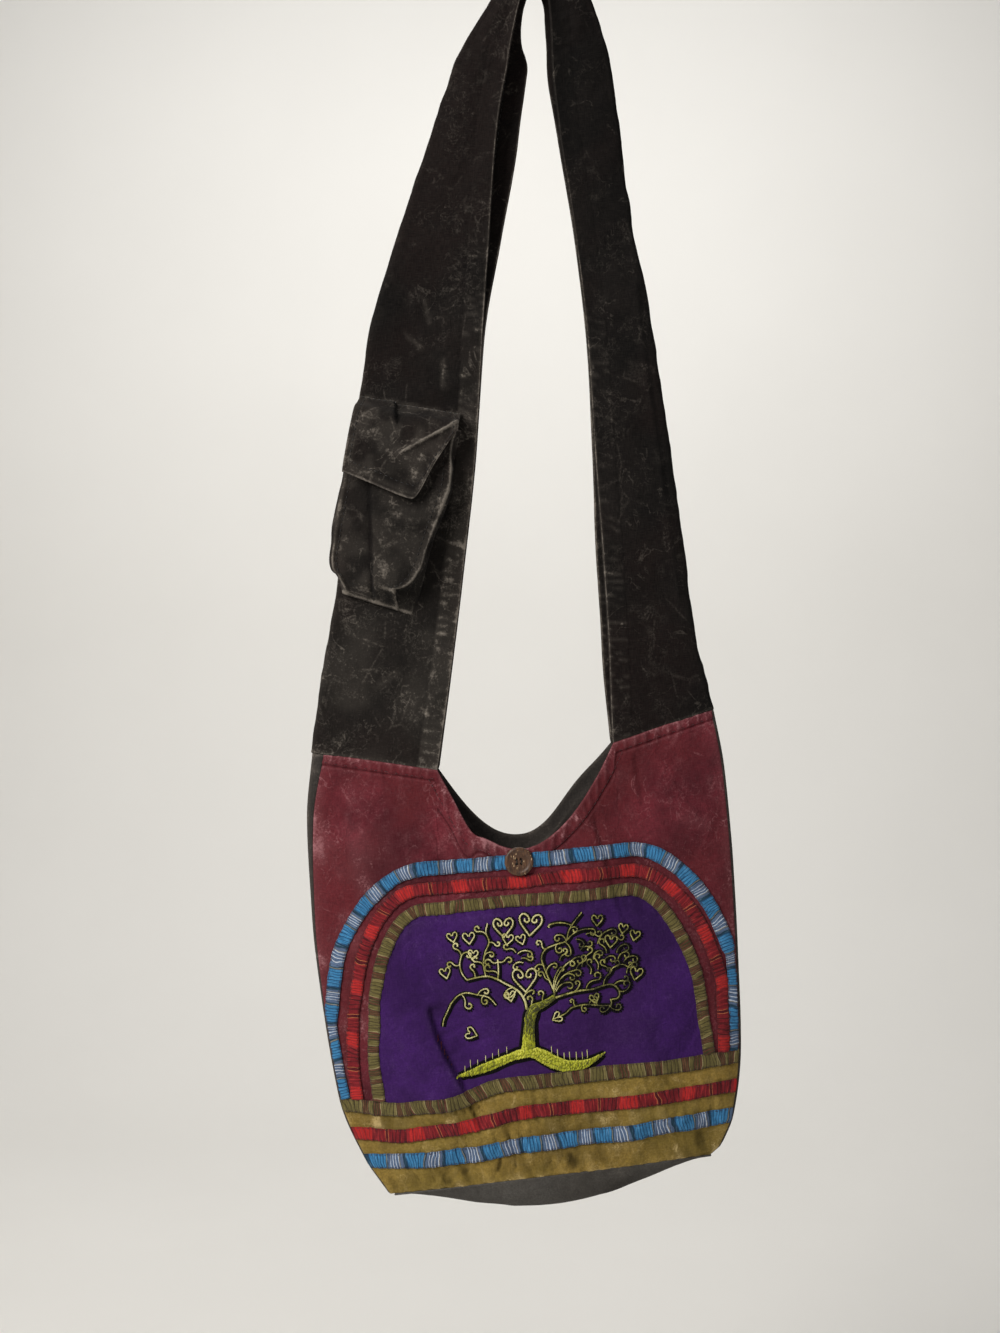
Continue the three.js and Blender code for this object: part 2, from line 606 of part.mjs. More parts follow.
function toGeometry(solid) {
  const mesh = solid.getMesh();
  const geometry = new THREE.BufferGeometry();
  geometry.setAttribute('position', new THREE.BufferAttribute(new Float32Array(mesh.vertProperties), 3));
  geometry.setIndex(new THREE.BufferAttribute(new Uint32Array(mesh.triVerts), 1));
  geometry.computeVertexNormals();
  return geometry;
}

// Solid through closed rings of equal length, capped at both ends
function loft(rings) {
  const around = rings[0].length;
  const vertices = rings.flat();
  const triangles = [];
  for (let i = 0; i + 1 < rings.length; i++) {
    for (let k = 0; k < around; k++) {
      const a = i * around + k;
      const b = i * around + ((k + 1) % around);
      triangles.push([a, b, b + around], [a, b + around, a + around]);
    }
  }
  const lastStart = (rings.length - 1) * around;
  for (let k = 1; k + 1 < around; k++) {
    triangles.push([0, k + 1, k], [lastStart, lastStart + k, lastStart + k + 1]);
  }
  return closedGeometry(vertices, triangles);
}

// Pouch: a front face and its bellows, open at the mouth and closed behind by the strap
function pocketPouch() {
  const sectionAt = tableCurves(POUCH, 'down');
  const length = POUCH[POUCH.length - 1].down;
  const corner = 0.28; // share of the depth that each front corner rounds off
  const ring = (down, inset, behind) => {
    const row = sectionAt(Math.min(down, length));
    const left = row.left + inset;
    const right = row.right - inset;
    const depth = Math.max(0.4, row.depth - inset);
    const faceLeft = left - row.sag;
    const faceRight = right - row.sag;
    const cut = corner * depth;
    return [
      [left, behind],
      [faceLeft, -(depth - cut)],
      [faceLeft + cut, -depth],
      [(faceLeft + faceRight) / 2, -depth],
      [faceRight - cut, -depth],
      [faceRight, -(depth - cut)],
      [right, behind],
    ].map(([x, y]) => new THREE.Vector3(x, y, -down));
  };
  const stations = [0, 20, 40, 62, 85, 100, 112, 120, 126];
  const outer = loft(stations.map((down) => ring(down, 0, 0)));
  const innerStations = [-6, 20, 40, 62, 85, 100, 110, 118];
  const innerRings = innerStations.map((down) =>
    ring(Math.max(0, down), POCKET_CLOTH, 6).map((point) => point.setZ(-down)),
  );
  const inner = loft(innerRings);
  return toGeometry(toSolid(outer).subtract(toSolid(inner)));
}

// Flap: a sheet bent from its seam over the mouth and down the pouch, with a pointed lower edge
function pocketFlap() {
  const profile = FLAP_PROFILE.map((row, key) => ({ key, ...row }));
  const profileAt = tableCurves(profile, 'key');
  const edgeAt = tableCurves(FLAP_EDGE, 'across');
  const first = FLAP_EDGE[0].across;
  const last = FLAP_EDGE[FLAP_EDGE.length - 1].across;
  const columns = 10;
  const rows = 8;
  const point = (i, j, out) => {
    const across = THREE.MathUtils.lerp(first, last, i / columns);
    const { lean, reach } = edgeAt(across);
    const key = (j / rows) * reach * (profile.length - 1);
    const here = profileAt(key);
    const before = profileAt(Math.max(0, key - 0.05));
    const after = profileAt(key + 0.05);
    const along = new THREE.Vector2(after.out - before.out, after.up - before.up).normalize();
    return new THREE.Vector3(
      across + lean * (j / rows),
      -(here.out + POCKET_CLOTH - along.y * out),
      here.up + along.x * out - FLAP_SLANT * across,
    );
  };
  return sheet(columns, rows, (i, j) => point(i, j, POCKET_CLOTH), (i, j) => point(i, j, 0));
}

function button() {
  const { radius, thickness, rim, dish } = BUTTON;
  const profile = [
    [0, 0],
    [radius - 1.2, 0],
    [radius, 0.9],
    [radius - 0.2, thickness - 0.7],
    [radius - 0.9, thickness],
    [radius - rim - 0.9, thickness],
    [radius - rim - 2, thickness - dish],
    [0, thickness - dish],
  ].map(([x, y]) => new THREE.Vector2(x, y));
  let solid = toSolid(new THREE.LatheGeometry(profile, 24));
  for (const quarter of [0, 1, 2, 3]) {
    const angle = (quarter + 0.5) * (Math.PI / 2);
    const hole = new THREE.CylinderGeometry(BUTTON_HOLES.radius, BUTTON_HOLES.radius, 3 * thickness, 8);
    hole.translate(BUTTON_HOLES.offset * Math.cos(angle), 0, BUTTON_HOLES.offset * Math.sin(angle));
    solid = solid.subtract(toSolid(hole));
  }
  return toGeometry(solid);
}

function treeHill() {
  const low = TRIM_FACE + STITCH_GAP;
  const hillAt = tableCurves(HILL, 'u');
  const first = HILL[0].u;
  const last = HILL[HILL.length - 1].u;
  const uAt = (t) => THREE.MathUtils.lerp(first, last, t);
  const path = steps(16).map((t) => ({ u: uAt(t), h: hillAt(uAt(t)).h }));
  return frontRibbon(path, ({ u }) => hillAt(u).thick, 2, low, low + STITCH_FACE);
}

function treeTrunk() {
  const low = TRIM_FACE + STITCH_GAP;
  const trunkAt = tableCurves(TRUNK, 'h');
  const foot = TRUNK[0].h;
  const top = TRUNK[TRUNK.length - 1].h;
  const path = steps(8).map((t) => {
    const h = THREE.MathUtils.lerp(foot, top, t);
    return { u: trunkAt(h).u, h };
  });
  return frontRibbon(path, ({ h }) => trunkAt(h).width, 2, low, low + STITCH_FACE);
}

// Scene graph
const bag = new THREE.Group();
const add = (parent, name, geometry, material) => {
  const mesh = new THREE.Mesh(geometry, material);
  mesh.name = name;
  parent.add(mesh);
  return mesh;
};

add(bag, 'strap', strap(), cloth(BLACK));

const body = new THREE.Group();
body.position.copy(BODY_PLACE);
body.rotation.y = -BODY_ROLL;
bag.add(body);
add(body, 'front_yoke', frontYoke(), cloth(MAROON));
add(body, 'front_lower_panel', frontLowerPanel(), cloth(OLIVE));
add(body, 'centre_panel', centrePanel(), cloth(PURPLE));
for (const arch of ARCHES) {
  add(body, arch.name, archStrip(arch, arch === ARCHES[0] ? 3 : 2), stripCloth(arch.name));
}
for (const band of BANDS) {
  const ribbon = frontRibbon(bandPath(band), () => band.width, 2, LAYER_GAP, TRIM_FACE);
  add(body, band.name, ribbon, stripCloth(band.name));
}
add(body, 'tree_hill', treeHill(), cloth(GREEN));
add(body, 'tree_trunk', treeTrunk(), cloth(GREEN));
add(body, 'back_panel', backPanel(), cloth(CHARCOAL));
add(body, 'bottom_panel', bottomPanel(), cloth(BLACK));
const buttonMesh = add(body, 'button', button(), shell(COCONUT));
buttonMesh.position.copy(frontPoint(BUTTON.u, BUTTON.h, TRIM_FACE + STITCH_GAP));
buttonMesh.rotation.x = Math.PI;

const pocket = new THREE.Group();
pocket.position.copy(POCKET_PLACE);
pocket.rotation.y = POCKET_LEAN;
bag.add(pocket);
add(pocket, 'pocket_pouch', pocketPouch(), cloth(BLACK));
add(pocket, 'pocket_flap', pocketFlap(), cloth(BLACK));

export default bag;
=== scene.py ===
# Embroidered crossbody bag of washed cotton, hanging empty from the fold of its wide strap.
# Shapes are worked out in millimetres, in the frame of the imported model, and made in metres.
import math

import bpy
import numpy as np
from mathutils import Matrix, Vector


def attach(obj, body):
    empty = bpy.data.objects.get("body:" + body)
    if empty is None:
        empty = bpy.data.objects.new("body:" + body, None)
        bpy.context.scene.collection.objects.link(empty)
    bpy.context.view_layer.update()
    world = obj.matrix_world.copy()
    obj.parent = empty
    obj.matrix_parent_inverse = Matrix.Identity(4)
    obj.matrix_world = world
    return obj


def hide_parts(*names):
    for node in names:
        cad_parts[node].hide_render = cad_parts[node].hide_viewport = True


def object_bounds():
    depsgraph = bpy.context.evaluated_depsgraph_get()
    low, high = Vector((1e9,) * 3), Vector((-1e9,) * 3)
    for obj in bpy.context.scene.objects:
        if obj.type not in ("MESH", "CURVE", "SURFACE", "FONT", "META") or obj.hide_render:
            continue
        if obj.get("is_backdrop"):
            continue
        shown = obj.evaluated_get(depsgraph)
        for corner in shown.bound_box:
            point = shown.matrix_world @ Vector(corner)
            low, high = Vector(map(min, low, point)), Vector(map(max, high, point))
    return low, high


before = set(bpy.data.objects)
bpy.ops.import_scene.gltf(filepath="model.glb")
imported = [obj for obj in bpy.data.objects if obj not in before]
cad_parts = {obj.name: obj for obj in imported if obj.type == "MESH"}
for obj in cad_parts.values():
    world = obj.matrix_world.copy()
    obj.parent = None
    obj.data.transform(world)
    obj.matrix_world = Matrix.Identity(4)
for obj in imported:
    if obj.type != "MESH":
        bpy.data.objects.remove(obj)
cad_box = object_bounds()
MM = 0.001


# Numbers
def curve(rows, column):
    """Smooth curve through one column of a table against its first column, with no overshoot."""
    x = np.array([row[0] for row in rows], float)
    y = np.array([row[column] for row in rows], float)
    secant = np.diff(y) / np.diff(x)
    before = np.concatenate([secant[:1], secant])
    after = np.concatenate([secant, secant[-1:]])
    both = before * after
    total = np.where(before + after == 0, 1, before + after)
    slope = np.where(both > 0, 2 * both / total, 0)

    def at(v):
        v = np.asarray(v, float)
        i = np.clip(np.searchsorted(x, v) - 1, 0, len(x) - 2)
        span = x[i + 1] - x[i]
        t = (v - x[i]) / span
        rise = t * t * (3 - 2 * t)
        ends = slope[i] * t * (1 - t) ** 2 + slope[i + 1] * t * t * (t - 1)
        return y[i] + (y[i + 1] - y[i]) * rise + span * ends

    return at


CELLS = 64  # random cells before noise repeats


def noise(x, y, cell, seed):
    """Smooth noise from -1 to 1 with features about cell millimetres wide."""
    grid = np.random.default_rng(seed).uniform(-1, 1, (CELLS, CELLS))
    fx, fy = np.asarray(x, float) / cell, np.asarray(y, float) / cell
    ix, iy = np.floor(fx).astype(int), np.floor(fy).astype(int)
    tx, ty = fx - ix, fy - iy
    tx, ty = tx * tx * (3 - 2 * tx), ty * ty * (3 - 2 * ty)
    at = lambda i, j: grid[i % CELLS, j % CELLS]
    low = at(ix, iy) * (1 - tx) + at(ix + 1, iy) * tx
    high = at(ix, iy + 1) * (1 - tx) + at(ix + 1, iy + 1) * tx
    return low * (1 - ty) + high * ty


def facets(x, y, cell, seed):
    """Facets of random height with straight creases between them, from -1 to 1, as in crumpled cloth."""
    rng = np.random.default_rng(seed)
    shift_x, shift_y = rng.uniform(0, 1, (2, CELLS, CELLS))
    heights = rng.uniform(-1, 1, (CELLS, CELLS))
    fx, fy = np.broadcast_arrays(np.asarray(x, float) / cell, np.asarray(y, float) / cell)
    ix, iy = np.floor(fx).astype(int), np.floor(fy).astype(int)
    first, second, level = np.full(fx.shape, 9.0), np.full(fx.shape, 9.0), np.zeros(fx.shape)
    for dx in (-1, 0, 1):
        for dy in (-1, 0, 1):
            i, j = (ix + dx) % CELLS, (iy + dy) % CELLS
            gap = np.hypot(ix + dx + shift_x[i, j] - fx, iy + dy + shift_y[i, j] - fy)
            closer = gap < first
            second = np.where(closer, first, np.minimum(second, gap))
            level = np.where(closer, heights[i, j], level)
            first = np.minimum(first, gap)
    return level * np.minimum(1, (second - first) / 0.6)


def ramp(v, low, high):
    t = np.clip((v - low) / (high - low), 0, 1)
    return t * t * (3 - 2 * t)


def bell(v, width):
    return np.exp(-((v / width) ** 2))


def fade(v, width):
    return np.exp(-np.abs(v) / width)


def lerp(a, b, t):
    return a + (b - a) * t


def inside(share, soft):
    """1 along a line and 0 beyond its ends, given the share of the way along it."""
    return ramp(share, -soft, soft) * (1 - ramp(share, 1 - soft, 1 + soft))


def to_segment(u, h, line):
    """Distance to a line, signed by side, and the share of the way along it. The line's row starts with
    both places of one end and then of the other."""
    du, dh = line[2] - line[0], line[3] - line[1]
    share = ((u - line[0]) * du + (h - line[1]) * dh) / (du * du + dh * dh)
    t = np.clip(share, 0, 1)
    away = np.hypot(u - line[0] - t * du, h - line[1] - t * dh)
    side = np.where((u - line[0]) * dh >= (h - line[1]) * du, 1, -1)
    return away * side, share


def pair(a, b):
    return np.stack([a, b], -1)


def unit(vectors):
    return vectors / np.maximum(np.linalg.norm(vectors, axis=-1, keepdims=True), 1e-9)


def tangents(path):
    return unit(np.gradient(path, axis=0))


def left_of(ways):
    """Directions turned a quarter to the left."""
    return pair(-ways[:, 1], ways[:, 0])


def square_to(x, y, axis):
    """Unit normals of the lines that run along one axis of two grids of coordinates."""
    along_x, along_y = np.gradient(x, axis=axis), np.gradient(y, axis=axis)
    size = np.maximum(np.hypot(along_x, along_y), 1e-9)
    return along_y / size, -along_x / size


def travelled(path):
    return np.concatenate([[0], np.cumsum(np.linalg.norm(np.diff(path, axis=0), axis=1))])


def run_along(x, y):
    """Distance along each row of two grids of coordinates, from the row's start."""
    steps = np.hypot(np.diff(x, axis=1), np.diff(y, axis=1))
    return np.concatenate([np.zeros((len(x), 1)), np.cumsum(steps, 1)], 1)


def even(path, step):
    """Points at even steps along a path, with whatever else its columns hold."""
    gone = travelled(path)
    at = np.linspace(0, gone[-1], max(2, int(round(gone[-1] / step)) + 1))
    return np.stack([np.interp(at, gone, path[:, k]) for k in range(path.shape[1])], 1)


def smooth_path(points, step):
    """Even points along a round curve through a few points."""
    p = np.array(points, float)
    ends = np.vstack([2 * p[0] - p[1], p, 2 * p[-1] - p[-2]])
    t = np.linspace(0, 1, 17)[:-1, None]
    parts = []
    for a, b, c, d in zip(ends[:-3], ends[1:-2], ends[2:-1], ends[3:]):
        cubic = (c - a) * t + (2 * a - 5 * b + 4 * c - d) * t**2 + (3 * b - a - 3 * c + d) * t**3
        parts.append(b + 0.5 * cubic)
    return even(np.vstack(parts + [p[-1:]]), step)


# Meshes
def mesh_object(name, vertices, faces, material, uv=None, values=None):
    """Object from millimetre vertices and faces, smooth, with a map and named numbers at its vertices."""
    mesh = bpy.data.meshes.new(name)
    mesh.from_pydata((vertices * MM).tolist(), [], faces)
    mesh.polygons.foreach_set("use_smooth", [True] * len(mesh.polygons))
    if uv is not None:
        corner = np.empty(len(mesh.loops), dtype=np.int32)
        mesh.loops.foreach_get("vertex_index", corner)
        mesh.uv_layers.new(name="cloth").data.foreach_set("uv", (uv * MM)[corner].ravel())
    for key, numbers in (values or {}).items():
        mesh.attributes.new(key, "FLOAT", "POINT").data.foreach_set("value", numbers)
    mesh.materials.append(material)
    piece = bpy.data.objects.new(name, mesh)
    bpy.context.scene.collection.objects.link(piece)
    return piece


def quads_of(grid):
    """Faces of a grid of vertex numbers."""
    corners = [grid[:-1, :-1], grid[1:, :-1], grid[1:, 1:], grid[:-1, 1:]]
    return np.stack(corners, -1).reshape(-1, 4)


def slab(name, outer, inner, uv, wear_and_shade, material, rim=4):
    """Sheet of cloth between two grids of points, with a rounded edge. The number at its vertices is above 0
    where cotton is worn pale and where a striped strip gets painted shade at its edges, below 0 where cotton
    gets painted shade in folds and creases, and fades round the edge."""
    n, m = outer.shape[:2]
    count = n * m
    grid = np.arange(count).reshape(n, m)
    quads = quads_of(grid)
    border = np.concatenate([grid[:, 0], grid[-1, 1:], grid[-2::-1, -1], grid[0, -2:0:-1]])
    beside = grid[np.clip(border // m, 1, n - 2), np.clip(border % m, 1, m - 2)]
    flat_outer, flat_inner = outer.reshape(-1, 3), inner.reshape(-1, 3)
    middle = (flat_outer + flat_inner) / 2
    away = unit(middle[border] - middle[beside])
    half = ((flat_outer - flat_inner) / 2)[border]
    radius = np.linalg.norm(half, axis=1, keepdims=True)
    vertices, rings = [flat_outer, flat_inner], [border]
    for k in range(1, rim):
        angle = math.pi * k / rim
        rings.append(2 * count + (k - 1) * len(border) + np.arange(len(border)))
        vertices.append(middle[border] + half * math.cos(angle) + away * radius * math.sin(angle))
    rings.append(border + count)
    faces = [quads, quads[:, ::-1] + count]
    for a, b in zip(rings[:-1], rings[1:]):
        faces.append(np.stack([np.roll(a, -1), a, b, np.roll(b, -1)], -1))
    vertices, faces = np.vstack(vertices), np.vstack(faces)
    a, b, c, d = (vertices[faces[:, k]] for k in range(4))
    if np.sum(a * (np.cross(b, c) + np.cross(c, d))) < 0:
        faces = faces[:, ::-1]
    uv = np.asarray(uv, float).reshape(-1, 2)
    uv = np.concatenate([uv, uv] + [uv[border]] * (rim - 1))
    wear_and_shade = np.clip(np.broadcast_to(wear_and_shade, (n, m)), -1, 1).reshape(-1)
    wear_and_shade = np.concatenate([wear_and_shade, wear_and_shade] + [wear_and_shade[border] * (1 - k / rim) for k in range(1, rim)])
    piece = mesh_object(name, vertices, faces.tolist(), material, uv, {"wear_and_shade": wear_and_shade})
    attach(piece, "root")
    return piece


def tubes(name, lines, up, radius, material, sides=5, tint=0.0, taper=0.45, flat=1.0):
    """Many short threads in one mesh: lines is (threads, points, 3), and up points out of the cloth."""
    lines = np.asarray(lines, float)
    count, length = lines.shape[:2]
    along = unit(np.gradient(lines, axis=1))
    up = np.broadcast_to(np.asarray(up, float), (count, 3))[:, None, :]
    across = unit(np.cross(along, up))
    up = np.cross(across, along) * flat
    size = np.full(length, 1.0)
    size[[0, -1]] = taper
    size = size[None, :] * np.broadcast_to(np.asarray(radius, float), (count,))[:, None]
    angle = (2 * math.pi * np.arange(sides) / sides)[None, None, :, None]
    ring = across[:, :, None, :] * np.cos(angle) + up[:, :, None, :] * np.sin(angle)
    points = lines[:, :, None, :] + ring * size[:, :, None, None]
    index = np.arange(count * length * sides).reshape(count, length, sides)
    a, b = index[:, :-1], index[:, 1:]
    walls = np.stack([a, np.roll(a, -1, 2), np.roll(b, -1, 2), b], -1).reshape(-1, 4)
    faces = walls.tolist() + index[:, 0, ::-1].tolist() + index[:, -1].tolist()
    tint = np.broadcast_to(np.asarray(tint, float), (count,))
    values = {"tint": np.repeat(np.clip(tint, 0, 1), length * sides)}
    piece = mesh_object(name, points.reshape(-1, 3), faces, material, None, values)
    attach(piece, "root")
    return piece


OUT_FRONT = (0.0, -1.0, 0.0)
STITCH = np.array([0, 0.18, 0.5, 0.82, 1])  # shares of a stitch at its points
STITCH_RISE = np.array([0, 0.8, 1, 0.8, 0])
# Running stitches: length, gap and lift
TRIM_STITCH, HEM_STITCH, STRAP_STITCH = (2.2, 1.2, 0.12), (2.4, 1.2, 0.14), (2.8, 1.4, 0.2)
POCKET_STITCH = (2.6, 1.3, 0.2)
STITCH_DIP = 0.3  # of its ends into the cloth
SEWING, DARK_SEWING = [], []  # rows of maroon and of black stitches, made at the end


def stitch_lines(path, normals, length, gap, lift):
    """Running stitches along a path of points: each rises from the cloth and goes back into it."""
    gone = travelled(path)
    starts = np.arange(gap / 2, gone[-1] - length, length + gap)
    at = starts[:, None] + STITCH[None] * length
    follow = lambda rows: np.stack([np.interp(at, gone, rows[:, k]) for k in range(3)], -1)
    up = unit(follow(normals))
    rise = lerp(-STITCH_DIP, lift, STITCH_RISE)
    return follow(path) + up * rise[None, :, None], up[:, 2]


def sew_columns(rows, outer, inner, columns, stitch):
    """Adds running stitches along some columns of a sheet to the rows kept for later."""
    normals = unit(outer - inner)
    for column in columns:
        rows.append(stitch_lines(outer[:, column], normals[:, column], *stitch))


# Materials
class Graph:
    """Node material with a few short ways to add nodes."""

    def __init__(self, name):
        self.material = bpy.data.materials.new(name)
        self.material.use_nodes = True
        self.tree = self.material.node_tree
        self.shader = next(n for n in self.tree.nodes if n.type == "BSDF_PRINCIPLED")

    def put(self, socket, value):
        if isinstance(value, bpy.types.NodeSocket):
            self.tree.links.new(value, socket)
        else:
            socket.default_value = value

    def set(self, **inputs):
        for name, value in inputs.items():
            self.put(self.shader.inputs[name.replace("_", " ")], value)

    def node(self, kind, *inputs, **settings):
        """Node with its first inputs in order; settings with a capital are inputs by name."""
        node = self.tree.nodes.new("ShaderNode" + kind)
        for key, value in settings.items():
            if not key[0].isupper():
                setattr(node, key, value)
        for socket, value in zip(node.inputs, inputs):
            self.put(socket, value)
        for key, value in settings.items():
            if key[0].isupper():
                self.put(node.inputs[key], value)
        return node

    def math(self, operation, a, b=0.0, clamp=False):
        return self.node("Math", a, b, operation=operation, use_clamp=clamp).outputs[0]

    def add(self, a, b):
        return self.math("ADD", a, b)

    def times(self, a, b):
        return self.math("MULTIPLY", a, b)

    def place(self):
        return self.node("TexCoord").outputs["Object"]

    def map(self):
        return self.node("UVMap", uv_map="cloth").outputs[0]

    def number(self, name):
        return self.node("Attribute", attribute_name=name).outputs["Fac"]

    def stretch(self, vector, scale):
        return self.node("Mapping", vector, Scale=scale).outputs[0]

    def noise(self, vector, scale, detail=2.0, rough=0.5):
        node = self.node("TexNoise", Vector=vector, Scale=scale, Detail=detail, Roughness=rough)
        return node.outputs[0]

    def veins(self, vector, scale, thin):
        """1 along thin wandering lines and 0 away from them."""
        node = self.node("TexNoise", Vector=vector, Scale=scale, Detail=3.0, Roughness=0.6, Distortion=0.8)
        off = self.math("ABSOLUTE", self.add(node.outputs[0], -0.5))
        return self.range(off, 0.0, thin, 1.0, 0.0)

    def folds(self, vector, scale):
        """Distance to the straight walls between random cells, as in crumpled cloth."""
        node = self.node("TexVoronoi", feature="DISTANCE_TO_EDGE", Vector=vector, Scale=scale)
        return node.outputs["Distance"]

    def blend(self, factor, a, b, way="MIX"):
        node = self.node("Mix", data_type="RGBA", blend_type=way)
        for socket, value in zip((node.inputs[0], node.inputs[6], node.inputs[7]), (factor, a, b)):
            self.put(socket, value)
        return node.outputs[2]

    def range(self, value, low, high, to_low=0.0, to_high=1.0):
        node = self.node("MapRange", value, low, high, to_low, to_high, interpolation_type="SMOOTHSTEP")
        return node.outputs[0]

    def stops(self, factor, rows, way="LINEAR"):
        node = self.node("ValToRGB", factor)
        node.color_ramp.interpolation = way
        elements = node.color_ramp.elements
        while len(elements) < len(rows):
            elements.new(0.5)
        for element, (at, color) in zip(elements, rows):
            element.position = at
            element.color = color
        return node.outputs[0]

    def bump(self, height, strength, distance, normal=None):
        node = self.node("Bump", Height=height, Strength=strength, Distance=distance)
        if normal is not None:
            self.put(node.inputs["Normal"], normal)
        return node.outputs[0]


def rgb(r, g, b):
    """Colour of 0 to 255 screen values as the shader wants it."""
    line = lambda v: v / 12.92 if v <= 0.04045 else ((v + 0.055) / 1.055) ** 2.4
    return tuple(line(v / 255) for v in (r, g, b)) + (1.0,)


def weave(g, period):
    """Plain weave at a real thread spacing in metres, with uneven yarns: its height, and the yarns alone."""
    split = g.node("SeparateXYZ", g.map())
    warp, weft = (g.math("SINE", g.times(split.outputs[k], 2 * math.pi / period)) for k in (0, 1))
    yarns = g.add(*(g.noise(g.stretch(g.map(), way), 1.0) for way in ((2400, 160, 1), (160, 2400, 1))))
    return g.add(g.times(g.times(warp, weft), 0.25), g.times(yarns, 0.5)), yarns


def cotton(name, dark, base, tinge, faded, marble=0.3, yarn=0.08):
    """Washed cotton: cloudy dye, uneven yarns, thin pale creases of the wash, fading where it rubs, and
    painted shade in folds and creases.
    """
    g = Graph(name)
    place = g.place()
    height, yarns = weave(g, 0.0007)
    cloud = g.noise(place, 24, 5.0, 0.62)
    patch = g.noise(place, 80, 6.0, 0.72)
    fine = g.noise(place, 650, 4.0, 0.7)
    color = g.blend(g.range(cloud, 0.32, 0.68), dark, base)
    color = g.blend(g.range(g.noise(place, 9, 3.0), 0.42, 0.6, 0.0, 0.7), color, tinge)
    color = g.blend(g.range(patch, 0.42, 0.72, 0.0, 0.35), color, dark)
    color = g.blend(g.range(fine, 0.38, 0.6, 0.4, 0.0), color, dark)
    color = g.blend(g.range(yarns, 0.75, 1.3, 0.0, yarn), color, faded)
    creases = g.times(g.veins(place, 40, 0.022), g.range(g.noise(place, 62), 0.5, 0.62))
    hairs = g.times(g.veins(place, 120, 0.035), g.range(g.noise(place, 27), 0.5, 0.6))
    scuffs = g.times(g.range(patch, 0.5, 0.66), g.range(g.noise(place, 34), 0.46, 0.62))
    fold = g.folds(g.stretch(place, (1, 1, 0.7)), 36)
    pressed = g.times(g.range(fold, 0.0, 0.035, 1.0, 0.0), g.range(g.noise(place, 48), 0.52, 0.64))
    lines = g.add(g.add(creases, g.times(pressed, 0.6)), g.add(g.times(hairs, 0.6), g.times(scuffs, 0.6)))
    wear_and_shade = g.number("wear_and_shade")
    lines = g.times(lines, g.range(fine, 0.36, 0.6))
    specks = g.times(g.range(fine, 0.58, 0.7), g.range(wear_and_shade, 0.0, 0.5, 0.0, 0.22))
    marks = g.add(g.times(lines, g.range(wear_and_shade, 0.0, 0.55, 0.35 * marble, marble)), specks)
    spots = g.add(g.times(patch, 1.6), g.times(fine, 0.8))
    rub = g.range(g.add(wear_and_shade, spots), 1.6, 2.35, 0.0, 0.85)
    haze = g.range(wear_and_shade, 0.05, 0.6, 0.0, 0.13)
    color = g.blend(g.math("ADD", g.math("MAXIMUM", rub, haze), marks, clamp=True), color, faded)
    # Below 0, the number at the vertices paints shade into folds and creases.
    color = g.blend(g.range(wear_and_shade, -0.8, 0.0, 0.85, 0.0), color, (0.2, 0.2, 0.2, 1), "MULTIPLY")
    wrinkles = g.add(g.times(g.veins(place, 30, 0.06), 0.14), g.times(g.veins(place, 75, 0.08), 0.07))
    wrinkles = g.add(wrinkles, g.range(fold, 0.0, 0.22, 0.0, 0.2))
    bumps = g.bump(g.add(g.noise(place, 60, 4.0, 0.55), wrinkles), 0.5, 0.002)
    g.set(Base_Color=color, Roughness=0.92, Sheen_Weight=0.02, Sheen_Roughness=0.6, Specular_IOR_Level=0.06)
    g.set(Normal=g.bump(height, 0.4, 0.0003, bumps))
    return g.material


def striped(name, period, rows, stray):
    """Striped cotton: uneven stripes from rows of place in the repeat and colour, with stray yarns, and
    painted shade along the strip's edges.
    """
    g = Graph(name)
    split = g.node("SeparateXYZ", g.map())
    drift = g.times(g.add(g.noise(g.place(), 28), -0.5), 0.016)
    wobble = g.times(g.add(g.noise(g.map(), 90), -0.5), 0.0024)
    along = g.add(g.add(split.outputs[0], g.add(drift, wobble)), g.times(split.outputs[1], 0.05))
    repeat = g.math("FRACT", g.math("DIVIDE", along, period))
    color = g.stops(repeat, [(at, rgb(*tone)) for at, tone in rows], "CONSTANT")
    height, yarns = weave(g, 0.0008)
    threads = g.noise(g.stretch(g.map(), (1300, 90, 1)), 1.0, 3.0, 0.6)
    color = g.blend(g.range(threads, 0.36, 0.52, 0.75, 0.0), color, (0.4, 0.38, 0.4, 1), "MULTIPLY")
    color = g.blend(g.range(threads, 0.56, 0.7, 0.0, 0.5), color, rgb(*stray))
    dim = g.range(g.noise(g.place(), 70, 4.0, 0.65), 0.35, 0.75, 0.0, 0.4)
    color = g.blend(dim, color, (0.55, 0.5, 0.5, 1), "MULTIPLY")
    color = g.blend(g.range(yarns, 0.8, 1.35, 0.0, 0.5), color, (0.5, 0.48, 0.5, 1), "MULTIPLY")
    # Painted shade: the number at the vertices darkens the strip towards black along its edges.
    color = g.blend(g.times(g.number("wear_and_shade"), 0.7), color, (0.012, 0.008, 0.009, 1))
    bumps = g.bump(g.noise(g.place(), 170, 3.0, 0.6), 0.45, 0.0014)
    g.set(Base_Color=color, Roughness=0.88, Sheen_Weight=0.05, Sheen_Roughness=0.6, Specular_IOR_Level=0.15)
    g.set(Normal=g.bump(height, 0.5, 0.0004, bumps))
    return g.material


def floss(name, shade, base, bright, gloss):
    """Embroidery thread: twisted strands with a soft shine, toned by each stitch's own number."""
    g = Graph(name)
    grain = g.times(g.add(g.noise(g.place(), 700), -0.5), 0.5)
    color = g.stops(g.add(g.number("tint"), grain), [(0.0, shade), (0.5, base), (1.0, bright)])
    g.set(Base_Color=color, Roughness=gloss, Sheen_Weight=0.2, Sheen_Roughness=0.4, Specular_IOR_Level=0.35)
    g.set(Normal=g.bump(g.noise(g.place(), 3000), 0.4, 0.0002))
    return g.material


